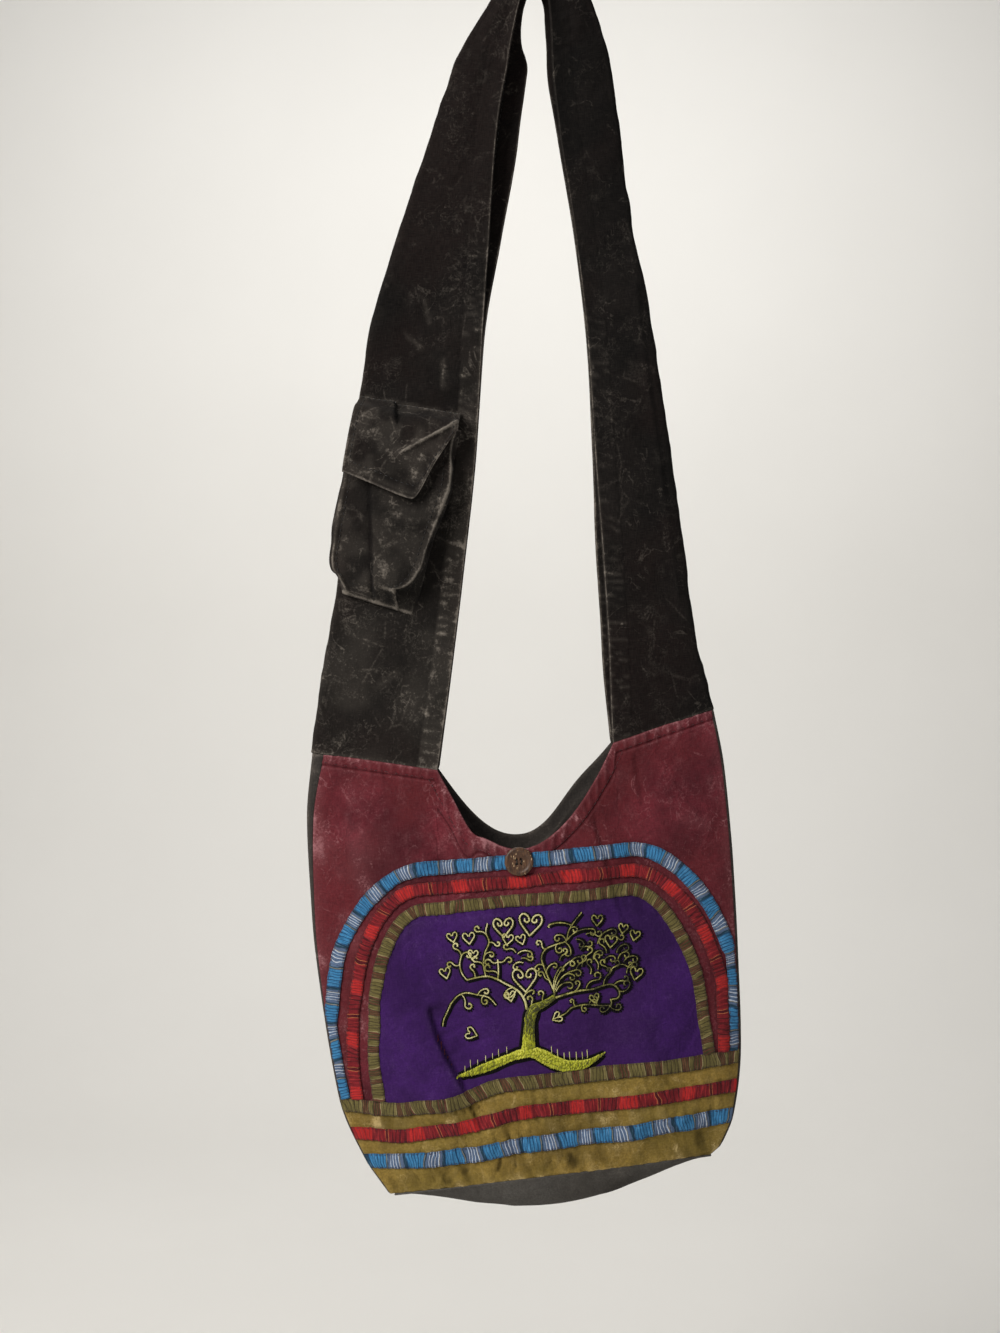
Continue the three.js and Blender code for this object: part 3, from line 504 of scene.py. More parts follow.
def coconut(name):
    """Polished coconut shell: dark brown with sparse pale flecks along its grain."""
    g = Graph(name)
    fibres = g.noise(g.stretch(g.place(), (900, 900, 180)), 1.0, 3.0, 0.6)
    flecks = g.node("TexVoronoi", Vector=g.stretch(g.place(), (1.6, 1.6, 0.6)), Scale=420).outputs[0]
    spots = g.times(g.range(flecks, 0.1, 0.3, 1.0, 0.0), g.range(g.noise(g.place(), 300), 0.44, 0.52))
    color = g.stops(fibres, [(0.3, rgb(44, 26, 15)), (0.5, rgb(70, 44, 25)), (0.75, rgb(100, 66, 38))])
    color = g.blend(g.times(spots, 0.8), color, rgb(214, 184, 142))
    g.set(Base_Color=color, Roughness=g.range(fibres, 0.2, 0.8, 0.42, 0.6))
    g.set(Coat_Weight=0.06, Coat_Roughness=0.3)
    g.set(Normal=g.bump(fibres, 0.25, 0.0003))
    return g.material


def pale_ground(name):
    g = Graph(name)
    tones = ((0.8, 0.785, 0.75, 1), (0.84, 0.825, 0.79, 1))
    g.set(Base_Color=g.blend(g.noise(g.place(), 3, 3.0), *tones), Roughness=0.95)
    return g.material


def dye(name, *tones, **more):
    """Cotton from its dark, base, second and faded tones in screen values."""
    return cotton(name, *(rgb(*tone) for tone in tones), **more)


BLACK = dye("black_cotton", (9, 8, 8), (21, 18, 17), (22, 14, 13), (116, 109, 101), marble=0.5, yarn=0.04)
CHARCOAL = dye("charcoal_cotton", (32, 30, 29), (56, 52, 50), (48, 45, 43), (116, 108, 100), marble=0.25)
GREY = dye("grey_cotton", (54, 51, 48), (80, 77, 73), (88, 86, 83), (128, 122, 114), marble=0.2)
MAROON = dye("maroon_cotton", (66, 22, 29), (106, 38, 48), (92, 32, 36), (148, 100, 104), marble=0.75)
PURPLE = dye("purple_cotton", (42, 18, 64), (60, 27, 92), (52, 24, 76), (104, 76, 130), marble=0.35)
OLIVE = dye(
    "olive_cotton", (82, 67, 28), (152, 125, 60), (122, 104, 48), (178, 156, 106), marble=0.6, yarn=0.12)


def lined(start, end, ground, line, count, share):
    """Rows of a stripe from start to end of the repeat: a ground with thin even lines of another tone."""
    step = (end - start) / count
    rows = []
    for k in range(count):
        rows += [(start + k * step, ground), (start + (k + 1 - share) * step, line)]
    return rows


SKY, DEEP_BLUE, NIGHT = (60, 128, 176), (32, 76, 116), (34, 64, 84)
SLATE, PALE, TAN = (88, 108, 138), (196, 206, 220), (128, 124, 110)
BLUE_STRIPE = striped(
    "blue_stripe", 0.0267,
    [(0.0, NIGHT), (0.02, DEEP_BLUE)] + lined(0.05, 0.5, SKY, DEEP_BLUE, 6, 0.26)
    + [(0.5, TAN), (0.52, NIGHT), (0.55, SLATE)] + lined(0.57, 0.86, SLATE, PALE, 4, 0.24)
    + [(0.86, TAN), (0.88, SLATE), (0.95, NIGHT)],
    (124, 166, 200))
SCARLET, CRIMSON, CHERRY = (182, 40, 39), (118, 27, 35), (146, 38, 43)
WINE, GOLD = (82, 20, 27), (184, 112, 70)
RED_STRIPE = striped(
    "red_stripe", 0.038,
    lined(0.0, 0.27, SCARLET, CHERRY, 5, 0.34) + lined(0.27, 0.56, CRIMSON, CHERRY, 4, 0.3)
    + [(0.56, GOLD), (0.57, WINE), (0.61, GOLD), (0.62, CRIMSON)]
    + lined(0.64, 0.95, CRIMSON, WINE, 4, 0.3) + [(0.95, CHERRY)],
    (198, 72, 62))
KHAKI, SAND, CREAM, RUST, MOSS = (104, 95, 55), (122, 111, 68), (150, 138, 98), (98, 60, 45), (70, 62, 37)
OLIVE_STRIPE = striped(
    "olive_stripe", 0.025,
    [(0.0, CREAM)] + lined(0.02, 0.4, KHAKI, MOSS, 4, 0.22) + [(0.4, SAND), (0.47, CREAM), (0.485, MOSS)]
    + lined(0.52, 0.68, RUST, MOSS, 3, 0.4) + [(0.68, CREAM), (0.695, KHAKI)]
    + lined(0.78, 0.98, MOSS, RUST, 3, 0.4),
    (146, 134, 90))
CANOPY = floss("pale_thread", rgb(56, 54, 22), rgb(164, 160, 84), rgb(222, 216, 162), 0.5)
THREAD = floss("green_thread", rgb(54, 55, 12), rgb(164, 168, 22), rgb(210, 208, 80), 0.5)
SHADE = dye("outline_and_shadow", (10, 8, 10), (16, 13, 16), (14, 11, 14), (34, 28, 32), marble=0.0, yarn=0.02)
BLACK_THREAD = floss("black_thread", rgb(14, 12, 12), rgb(28, 25, 25), rgb(56, 50, 46), 0.6)
MAROON_THREAD = floss("maroon_thread", rgb(52, 20, 26), rgb(88, 36, 42), rgb(126, 78, 80), 0.6)
SHELL = coconut("coconut_shell")


# Body of the bag: u to the right along the bottom seam, h up the panel, from the middle of that seam
ROLL = math.radians(7)  # lean of the hanging body
BODY_X, BODY_Z = 10.5, -865.8
SIDE_RADIUS = 3  # of the round fold at each side
RIGHT_WRAP = 2  # of the back round the right side
SEAM, SEAM_GAP = 0.45, 0.5  # room each way at a side seam, and between pieces at the other seams
# Thickness of the front's cloth, of the back's and bottom's, and of the pocket's
CLOTH, CLOTH_BELOW, POCKET_CLOTH = 1.2, 1.3, 1.1
# height, left side, right side, bulge of the front and of the back, wrap of the back round the left side
BODY = [
    (0, -114.7, 114, 20, 18, 1.5),
    (3, -116.4, 118.8, 20.1, 18.1, 1.5),
    (8, -119.2, 122.9, 20.3, 18.3, 1.5),
    (25, -128, 132, 21, 19, 1.5),
    (70, -141, 142.6, 21, 20, 1.5),
    (136, -144.5, 148.7, 20, 20, 1.5),
    (174, -145, 151.5, 18, 18, 2),
    (220, -143, 154, 15.5, 15.5, 3),
    (266, -139.5, 155, 13, 13, 5),
    (312, -130, 152, 11, 11, 9),
]
side_left, side_right, front_bulge, back_bulge, wrap_left = (curve(BODY, k) for k in range(1, 6))
# Soft folds: from u, h to u, h, width, depth (a valley where negative)
FRONT_FOLDS = [
    (-64, 150, -38, 84, 19, -3),
    (-92, 128, -66, 72, 19, 2.6),
    (80, 258, 92, 186, 18, -3.6),
    (-100, 262, -70, 238, 17, 2.4),
    (62, 44, 100, 128, 22, 2.4),
]
BACK_FOLDS = [(-60, 230, -76, 70, 20, 3), (70, 235, 84, 60, 20, -3)]
# Pressed creases: from u, h to u, h, depth, width, and the step from one side of the line to the other
CREASES = [
    (-70, 127, -66.5, 107, 2.2, 3.0, 2.2),
    (-66.5, 107, -61, 91, 3.2, 3.0, 3.4),
    (-61, 91, -52, 70, 2.8, 3.0, 3.0),
    (-52, 70, -44, 40, 1.2, 4.0, 1.4),
    (59, 246, 66, 196, 1.0, 4.0, 0.9),
    (66, 196, 72, 168, 0.7, 4.0, 0.6),
    (-94, 219, -62, 236, 0.9, 4.0, 0.8),
    (-30, 44, -18, 14, 0.8, 4.0, 0.6),
    (-74, 52, -60, 18, 0.7, 4.0, 0.5),
    (96, 60, 116, 96, 0.6, 5.0, 0.5),
    (-122, 284, -104, 262, 0.9, 3.0, 0.8),
    (-104, 262, -72, 258, 0.8, 3.0, 0.7),
    (-112, 248, -84, 270, 0.7, 3.0, 0.6),
    (92, 284, 94, 246, 0.9, 3.5, 0.8),
    (118, 262, 134, 236, 0.7, 3.0, 0.6),
    (-83, 5, -64, 17, 1.0, 3.0, 0.9),
    (-72, 5, -54, 15, 1.0, 3.0, 0.9),
]
LEFT_SEAM = (-130.2, 312.2, -44.4, 289.3)  # outer end at the fold, inner end at the neckline
RIGHT_SEAM = (152.1, 308.3, 79.1, 293)
NECK_U, NECK_H, NECK_LEFT, NECK_RIGHT, BACK_LIFT = 9.5, 228, 2.3, 1.8, 7
HOLLOW_U, HOLLOW_WIDTH, HOLLOW_DEPTH = -26, 7.5, 7  # sag of the front neckline beside the left seam
BACK_RISE_U, BACK_RISE_WIDTH, BACK_RISE = 50, 22, 8  # where the back shows above the front's neckline
PANEL_JOIN = 70.5  # height of the seam between the yoke and the lower panel
SLACK = 0.16  # how far the bands sag where they are slackest, as a share of their height
# u, and the share of the slack there
SLACK_SHARE = [
    (-145, 0.4), (-120, 0.7), (-94, 1), (-58, 0.72), (-12, 0.02), (50, 0.15), (114, 0.35), (146, 0.4)]
slack_share = curve(SLACK_SHARE, 1)
BANDS = {"olive": (70.5, 9.4), "red": (49, 9), "blue": (27.5, 10.4)}  # height and width
ARCH_CENTRE, ARCH_TILT = 2, 0.03
# top, width of the strip, least distance of its middle from the side seams, then for the left and the right
# side the half width, the height where the leg bends in and half of the straight top
ARCHES = {
    "blue": (226, 9.5, 3.5, (145.5, 112, 60), (148.5, 104, 78)),
    "red": (211, 8.4, 11.4, (133.5, 76, 68), (136.5, 100, 76)),
    "olive": (197.5, 8, 21, (118.5, 76, 66), (120.5, 100, 74)),
}
HEM_RISE, BOTTOM_SAG = 4, 22  # rise of the front's foot in its middle, and sag of the bottom


def to_bag(x, y, z):
    """Point of the body's frame in the bag's own frame."""
    x, y, z = np.broadcast_arrays(x, y, z)
    c, s = math.cos(ROLL), math.sin(ROLL)
    return np.stack([BODY_X + x * c - z * s, y, BODY_Z + x * s + z * c], -1)


def stand_out(u, h, bulge, folds):
    """How far the cloth stands out from the bag's middle: a round fold at each side, a bulge between."""
    left, right = side_left(h), side_right(h)
    to_side = np.maximum(0, np.minimum(u - left, right - u))
    share = (2 * u - left - right) / (right - left)
    rise = sum(fold[5] * bell(to_segment(u, h, fold)[0], fold[4]) for fold in folds)
    round_side = np.sqrt(SIDE_RADIUS**2 - np.maximum(0, SIDE_RADIUS - to_side) ** 2)
    middle = (bulge(h) - SIDE_RADIUS) * np.maximum(0, 1 - share**2)
    return round_side + middle + np.minimum(1, to_side / (4 * SIDE_RADIUS)) * rise


def front_y(u, h):
    return -stand_out(u, h, front_bulge, FRONT_FOLDS)


def back_y(u, h):
    return stand_out(u, h, back_bulge, BACK_FOLDS)


def sewn_height(u, height):
    """Height of a line sewn across the lower front, with its slack."""
    return height * (1 - SLACK * slack_share(u))


def front_left(h):
    return side_left(h) + wrap_left(h) + SEAM


def front_right(h):
    return side_right(h) - RIGHT_WRAP - SEAM


def to_seam(u, h):
    return np.minimum(u - front_left(h), front_right(h) - u)


def waves(u, v, length, seed):
    """Uneven waves from -1 to 1, as seams draw cloth up."""
    return np.sin(2 * math.pi * u / length + 3 * noise(u, v, 2.4 * length, seed))


def gathers(u, h):
    """Sharp valleys that run down the slack lower panel, deepest left of its middle."""
    turn = math.pi * (u + 0.1 * h + 9 * noise(u, h, 21, 17)) / 8
    valley = (1 - np.abs(np.sin(turn))) ** 2 * ramp(noise(u, h, 15, 18), -0.45, 0.5)
    return -(1 - ramp(h, 56, 66)) * (0.5 + 1.3 * bell(u + 40, 42)) * valley


def crinkles(u, h):
    """Small upright wrinkles of the slack lower panel, from -1 to 1."""
    return (1 - ramp(h, 56, 66)) * facets(u + 0.2 * h, 0.45 * h, 8, 19)


def front_relief(u, h):
    """Small folds of the front: crumples, gathers, pressed creases, and puckers along the bands."""
    relief = 1.1 * noise(u, h, 46, 11) + 0.8 * noise(u + 0.4 * h, h, 21, 12) + gathers(u, h)
    relief += 1.1 * facets(u, h - 0.3 * u, 30, 13) + 0.5 * facets(u + 0.5 * h, h, 13, 16)
    relief += crinkles(u, h)
    for crease in CREASES:
        away, share = to_segment(u, h, crease)
        depth, width, step = crease[4:]
        pressed = step * np.tanh(away / 1.2) * fade(away, 5 * width) - depth * fade(away, width)
        relief += inside(share, 0.15) * pressed
    for height, width in BANDS.values():
        drawn = 0.22 + 0.3 * noise(u, 0 * u + height, 35, 15)
        for edge in (-0.5, 0.5):
            gap = h - sewn_height(u, height) - edge * width
            relief += drawn * waves(u, 0 * u + edge * 9 + height, 8.5, 14) * fade(gap, 4.5)
    return relief * ramp(to_seam(u, h), 0, 14) * ramp(h, -2, 10)


def crease_shade(u, h):
    """Painted shade in the pressed creases of the front, from 0 to 1."""
    shade = 0
    for crease in CREASES:
        away, share = to_segment(u, h, crease)
        shade += 0.35 * crease[4] * bell(away, 0.5 * crease[5]) * inside(share, 0.15)
    return np.minimum(shade, 1)


def front_point(u, h, out):
    """Point of the front at u and h, moved out square to the cloth, in the bag's frame."""
    u, h = np.broadcast_arrays(np.asarray(u, float), np.asarray(h, float))
    slope = front_y(u + 0.5, h) - front_y(u - 0.5, h)
    length = np.hypot(slope, 1)
    lift = out + front_relief(u, h)
    return to_bag(u + slope / length * lift, front_y(u, h) - lift / length, h)


def top_edge(u, lift):
    """Top of the body: shoulder seams and the neckline between them, lifted at the back."""
    u = np.asarray(u, float)
    on_left = u < NECK_U
    inner = np.where(on_left, LEFT_SEAM[2], RIGHT_SEAM[2])
    rise = np.where(on_left, LEFT_SEAM[3], RIGHT_SEAM[3]) - SEAM_GAP - NECK_H
    share = np.clip((u - NECK_U) / (inner - NECK_U), 0, 1)
    top = NECK_H + rise * share ** np.where(on_left, NECK_LEFT, NECK_RIGHT)
    back = lift + BACK_RISE * bell(u - BACK_RISE_U, BACK_RISE_WIDTH)
    top += back * (1 - share**6) if lift else -HOLLOW_DEPTH * bell(u - HOLLOW_U, HOLLOW_WIDTH)
    for outer_u, outer_h, inner_u, inner_h in (LEFT_SEAM, RIGHT_SEAM):
        t = (u - inner_u) / (outer_u - inner_u)
        top = np.where(t >= 0, lerp(inner_h, outer_h, t) - SEAM_GAP, top)
    return top


def top_of_column(place, lift):
    """Height at which a column that runs up the cloth at u = place(h) meets the top edge."""
    low = np.full_like(place(np.array(100.0)), PANEL_JOIN)
    high = np.full_like(low, LEFT_SEAM[1] + 1)
    for _ in range(40):
        h = (low + high) / 2
        below = h < top_edge(place(h), lift)
        low, high = np.where(below, h, low), np.where(below, high, h)
    return low


def column_shares(left, right, lift, sides, neck):
    """Shares of the width for a panel's columns, with one at each corner of the top edge."""
    at = lambda u, h: float((u - left(h)) / (right(h) - left(h)))
    seams = [at(seam[2], seam[3] - SEAM_GAP) for seam in (LEFT_SEAM, RIGHT_SEAM)]
    corners = [0, seams[0], at(NECK_U, NECK_H + lift), seams[1], 1]
    spans = zip(corners, corners[1:], (sides, neck, neck, sides))
    return np.concatenate([np.linspace(a, b, n, endpoint=False) for a, b, n in spans] + [[1.0]])


# Front panels
SEAM_HEM, NECK_HEM = 6.4, 8.8  # depth of the hems along the strap's seams and the neckline
# Rows of points at a hem, down from the edge
HEM_ROWS = np.array([0, 0.6, 1.6, 3.2, 4.6, 5.6, 6.2, 6.8, 7.6, 8.2, 8.8, 9.4, 10.4, 12])


def front_yoke():
    shares = column_shares(front_left, front_right, 0, 48, 62)
    place = lambda h: lerp(front_left(h), front_right(h), shares)
    top = top_of_column(place, 0)
    foot = sewn_height(place(np.array(PANEL_JOIN)), PANEL_JOIN) + SEAM_GAP / 2
    edge = pair(place(top), top)
    way = tangents(edge)
    level = np.maximum(way[:, :1], 0.3)
    hem_h = top[:, None] - HEM_ROWS[::-1] / level
    h = np.concatenate([lerp(foot[:, None], hem_h[:, :1], np.linspace(0, 1, 84)[None, :-1]), hem_h], 1)
    u = lerp(front_left(h), front_right(h), shares[:, None])
    down = (top[:, None] - h) * level
    neck = (edge[:, 0] > LEFT_SEAM[2]) & (edge[:, 0] < RIGHT_SEAM[2])
    depth = np.where(neck, NECK_HEM, SEAM_HEM)[:, None]
    hem = 0.5 * (1 - ramp(down, depth - 0.6, depth + 0.6)) - 0.4 * bell(down - depth, 0.8)
    pucker = waves(u, h, 7.2, 31)
    outer = front_point(u, h, hem + 0.4 * pucker * bell(down - 5, 5))
    inner = front_point(u, h, -CLOTH)
    wear_and_shade = 0.6 * fade(down, 1.2) + 0.42 * fade(to_seam(u, h), 7) + 0.3 * bell(down - depth - 1.4, 1.2)
    # Painted shade along the valley of the hem's stitching.
    wear_and_shade -= 0.7 * bell(down - depth, 0.6)
    wear_and_shade += 0.5 * ramp(pucker, 0.3, 0.95) * bell(down - 0.4 * depth, 3)
    wear_and_shade += 0.2 * ramp(noise(u, h, 30, 32), 0.2, 0.8) + 0.3 * ramp(front_relief(u, h), 0.8, 2.2)
    # Painted shade in the pressed creases.
    wear_and_shade += 0.35 * ramp(-u, 70, 130) * ramp(noise(u, h, 15, 35), -0.3, 0.6) - 0.6 * crease_shade(u, h)
    for part in (~neck & (edge[:, 0] < 0), neck, ~neck & (edge[:, 0] > 0)):
        path = even((edge - left_of(way) * (depth - 1))[part], 0.8)
        points = front_point(path[:, 0], path[:, 1], 0.5)
        SEWING.append(stitch_lines(points, np.broadcast_to(OUT_FRONT, points.shape), *HEM_STITCH))
    return slab("front_yoke_cloth", outer, inner, pair(u, h), wear_and_shade, MAROON)


def front_lower_panel():
    shares = np.linspace(0, 1, 190)
    foot = HEM_RISE * (1 - (2 * shares - 1) ** 2)
    join = sewn_height(lerp(front_left(PANEL_JOIN), front_right(PANEL_JOIN), shares), PANEL_JOIN)
    join -= SEAM_GAP / 2
    h = lerp(foot[:, None], join[:, None], np.linspace(0, 1, 50)[None])
    u = lerp(front_left(h), front_right(h), shares[:, None])
    up = h - foot[:, None]
    gather = 0.3 * waves(u, h, 9, 33) * fade(up, 7)
    wear_and_shade = 0.45 * fade(up, 2) + 0.4 * fade(to_seam(u, h), 3) + 0.35 * ramp(noise(u, h, 24, 34), 0.0, 0.8)
    wear_and_shade += 0.2 * ramp(facets(u, h - 0.3 * u, 30, 13), 0.2, 0.9)
    # Painted shade in the valleys of the gathers and crinkles and in the pressed creases; the crinkles'
    # crests turn paler.
    wear_and_shade -= 0.55 * ramp(-gathers(u, h), 0.1, 1.6)
    wear_and_shade += 0.65 * crinkles(u, h) - 0.8 * crease_shade(u, h)
    outer, inner = front_point(u, h, gather), front_point(u, h, gather - CLOTH)
    return slab("front_lower_cloth", outer, inner, pair(u, h), wear_and_shade, OLIVE)


def arch_foot(u):
    height, width = BANDS["olive"]
    return sewn_height(u, height) + width / 2


def arch_side(top, side, sign, inset):
    """One side of an arch moved in by an inset: from its foot a leg, a quarter ellipse, half the top."""
    half, start, top_half = side
    wide, rise = half - inset, top - inset - start
    turn = np.linspace(0, math.pi / 2, 60)
    flat = np.linspace(0.97, 0, 40)
    x = np.concatenate([np.full(12, wide), top_half + (wide - top_half) * np.cos(turn), top_half * flat])
    leg = np.linspace(float(arch_foot(sign * wide)), start, 12)
    h = np.concatenate([leg, start + rise * np.sin(turn), np.full(40, start + rise)])
    lifted = np.maximum(0, h - start) / (top - start)
    return pair(ARCH_CENTRE + sign * x, h - ARCH_TILT * sign * x * lifted)


def arch_outline(arch, inset, step=1.6):
    top, width, room, left, right = arch
    whole = np.vstack([arch_side(top, left, -1, inset), arch_side(top, right, 1, inset)[-2::-1]])
    u, h = whole.T
    beyond = room + inset - width / 2
    return even(pair(np.clip(u, front_left(h) + beyond, front_right(h) - beyond), h), step)


def strip(name, path, width, material, seed, to_sides):
    """Striped strip sewn down along both edges, which ends at the side seams or turns under along them."""
    along, gone = tangents(path), travelled(path)
    v = np.linspace(-1, 1, 15)[None]
    shift = 0.6 * noise(gone, 0 * gone, 26, 40 + seed) + 0.25 * noise(gone, 0 * gone + 5, 9, 44 + seed)
    wide = width * (1 + 0.07 * noise(gone, 0 * gone + 7, 17, 41 + seed))
    if not to_sides:
        wide = np.minimum(wide, 2 * to_seam(*path.T) - 0.8)
    side = shift[:, None] + v * wide[:, None] / 2
    u, h = path[:, :1] - along[:, 1:] * side, path[:, 1:] + along[:, :1] * side
    if to_sides:
        to_left, to_right = (1 - ramp(way, 0, 18)[:, None] for way in (gone, gone[-1] - gone))
        at_left, at_right = front_left(h[:1]) + 0.5 - u[:1], front_right(h[-1:]) - 0.5 - u[-1:]
        u += to_left * at_left + to_right * at_right
    u = np.clip(u, front_left(h) + 0.4, front_right(h) - 0.4)
    s = np.broadcast_to(gone[:, None], u.shape)
    pucker = waves(s, 0 * s, 6.5, 42 + seed) * (0.1 + 0.2 * np.abs(v))
    top = 1.2 + 0.5 * (1 - v**4) + pucker + 0.12 * noise(s, side, 5, 43 + seed)
    outer, inner = front_point(u, h, top), front_point(u, h, 0.7)
    # Painted shade along both edges of the strip.
    wear_and_shade = 0.5 * bell(np.abs(v) - 1, 0.12) * np.ones_like(u)
    piece = slab(name, outer, inner, pair(s, side), wear_and_shade, material)
    sew_columns(SEWING, outer, inner, (1, -2), TRIM_STITCH)
    return piece, gone[-1]


def band_path(height):
    middle = float(sewn_height(0, height))
    left = float(front_left(sewn_height(front_left(middle), height))) + 0.6
    u = np.linspace(left, float(front_right(middle)) - 0.6, 200)
    return even(pair(u, sewn_height(u, height)), 1.6)


CENTRE_GAP = 0.62  # from the ground panel to the top of the centre panel's cloth


def centre_lift(u, h):
    """Height of the centre panel's cloth above the ground panel, drawn up a little by the stitches."""
    drawn = bell(np.hypot((u - 12) / 70, (h - 145) / 45), 1.0)
    return CENTRE_GAP + drawn * (0.4 * noise(u, h, 9, 51) + 0.3 * facets(u, h, 12, 52))


def centre_panel():
    arch = ARCHES["olive"]
    outline = arch_outline(arch, arch[1] - 2.2, 1.0)
    outline = outline[np.argsort(outline[:, 0])]
    t = np.linspace(0, 1, 150)
    spread = 0.65 * t + 0.35 * (1 - np.cos(math.pi * t)) / 2
    across = lerp(outline[0, 0], outline[-1, 0], spread)
    foot = arch_foot(across) - 1.5
    top = np.maximum(np.interp(across, outline[:, 0], outline[:, 1]), foot + 8)
    h = lerp(foot[:, None], top[:, None], np.linspace(0, 1, 90)[None])
    u = np.broadcast_to(across[:, None], h.shape)
    edge = top[:, None] - h
    ripple = 0.3 * waves(u, h, 8, 53) * fade(edge - 6, 5)
    wear_and_shade = 0.2 * ramp(noise(u, h, 26, 54), 0.15, 0.8) + 0.2 * fade(edge - 7, 3)
    for line in CREASES[:3]:
        away, share = to_segment(u, h, line)
        wear_and_shade += 0.35 * bell(away - 2.5, 1.6) * inside(share, 0.1)
    # Painted shade in the pressed creases.
    wear_and_shade -= 0.6 * crease_shade(u, h)
    outer, inner = front_point(u, h, centre_lift(u, h) + ripple), front_point(u, h, 0.15)
    return slab("centre_cloth", outer, inner, pair(u, h), wear_and_shade, PURPLE)


# Back and bottom
def back_panel():
    shares = column_shares(side_left, side_right, BACK_LIFT, 34, 44)
    lips = np.array([1, 0.8, 0.6, 0.4, 0.2])
    places = [lambda h, k=k: side_left(h) + (wrap_left(h) - SEAM) * k for k in lips]
    places += [lambda h, k=k: lerp(side_left(h), side_right(h), k) for k in shares]
    places += [lambda h, k=k: side_right(h) - (RIGHT_WRAP - SEAM) * k for k in lips[::-1]]
    on_lip = [0.0] * len(lips)
    on_back = np.array(on_lip + [1.0] * len(shares) + on_lip)[:, None]
    top = np.array([float(top_of_column(place, BACK_LIFT)) for place in places])
    h = top[:, None] * np.linspace(0, 1, 84)[None]
    u = np.stack([place(h[i]) for i, place in enumerate(places)])
    y = np.where(on_back > 0, back_y(u, h), front_y(u, h))
    in_u, in_y = square_to(u, y, 0)
    to_side = np.minimum(u - side_left(h), side_right(h) - u)
    crumple = noise(u, h, 50, 61) + 0.7 * noise(u - 0.3 * h, h, 24, 62)
    crumple += 0.8 * facets(u, h, 30, 63) + 0.3 * facets(u + h, h, 13, 65)
    down = top[:, None] - h
    hem = 0.5 * (1 - ramp(down, 11, 12.5)) - 0.35 * bell(down - 11.5, 0.8)
    lift = crumple * ramp(to_side, 2, 20) * on_back * ramp(h, 0, 12) + hem * ramp(to_side, 1, 6)
    cloth = lambda out: to_bag(u - in_u * out, y - in_y * out, h)
    wear_and_shade = 0.6 * fade(to_side, 2.5) + 0.5 * fade(down, 1.5) + 0.4 * bell(down - 12, 1.8) + 0.3 * fade(h, 3)
    wear_and_shade += 0.25 * ramp(noise(u, h, 22, 64), 0.2, 0.8)
    uv = pair(u + (1 - on_back) * y, h)
    return slab("back_cloth", cloth(lift), cloth(lift - CLOTH_BELOW), uv, wear_and_shade, CHARCOAL)


def bottom_panel():
    t = ((1 - np.cos(math.pi * np.linspace(0, 1, 150))) / 2)[:, None]
    v = np.linspace(0, 1, 40)[None]
    u, v = np.broadcast_arrays(lerp(side_left(0) + 5, side_right(0) - 2, t), v)
    y = lerp(front_y(u, 0 * u), back_y(u, 0 * u), v)
    round_u, round_v = np.sin(math.pi * t), np.sin(math.pi * v)
    crumple = (0.9 * noise(u, y, 26, 71) + 0.9 * facets(u + y, y, 22, 72)) * np.sqrt(round_v * round_u)
    tucks = 0.6 * waves(u, y, 8.5, 73) * np.exp(-9 * np.minimum(v, 1 - v)) * ramp(v * (1 - v), 0, 0.05)
    seam = HEM_RISE * (1 - (2 * t - 1) ** 2) * (1 - v) - 1.6
    z = seam - BOTTOM_SAG * round_u**1.3 * round_v + crumple + tucks * ramp(round_u, 0.1, 0.4)
    wear_and_shade = 0.3 * ramp(noise(u, y, 16, 74), 0.1, 0.8)
    outer, inner = to_bag(u, y, z), to_bag(u, y, z + CLOTH_BELOW)
    return slab("bottom_cloth", outer, inner, pair(u, y - z), wear_and_shade, GREY)


# Strap: sections from the left shoulder over the top to the right shoulder
FOLD = 4  # radius of the fold
# x and z of the fold on the outside of the loop, x and z of the front edge, half the gap of the layers,
# how much further in the back edge lies, height of a lengthwise pleat
STRAP = [
    (-147.4, -508.2, -58.8, -508.2, 4, 0, 0),
    (-136.2, -437.5, -50.4, -437.5, 4, 0, 0),
    (-127.8, -360.5, -42.3, -360.5, 4, 0, 0),
    (-116.6, -283.5, -38, -283.5, 4, 1, 0),
    (-96.6, -213.5, -33.3, -213.5, 5, 8, 0.4),
    (-74.2, -143.5, -28.2, -143.5, 6, 15, 0.8),
    (-52.9, -84, -20.3, -91, 7.5, 14, 1.2),
    (-31, -46, -15.5, -65, 8.5, 8, 1.4),
    (-15, -13, -8.5, -41, 9, 3, 1.5),
    (3, 0.75, -1, -31, 9, 2, 1.5),
    (23, -16, 6, -41, 9, 2, 1.5),
    (38, -46, 9.8, -60, 8.5, 3, 1.4),
    (51, -87.5, 11.5, -93, 7.5, 3, 1.2),
    (58.8, -143.5, 17.5, -143.5, 6, 1, 0.8),
    (69, -213.5, 28, -213.5, 5, 0, 0.4),
    (82.2, -283.5, 36.2, -283.5, 4, 0, 0),
    (94.2, -360.5, 41.3, -360.5, 4, 1, 0),
    (104.2, -437.5, 47.2, -437.5, 4, 4, 0),
    (113, -500.5, 51.1, -500.5, 5, 4, 0),
]
STRAP_HEM = 14  # depth of both hems
# Columns of points at a hem, from the free edge
HEM_COLUMNS = np.array([0, 0.7, 2, 4.5, 7.5, 10.5, 12.4, 13.3, STRAP_HEM, 14.7, 15.6, 17.5])
POCKET_TUCK = (-124, -323, -44, -339)  # seam across the front layer above the pocket: x, z to x, z
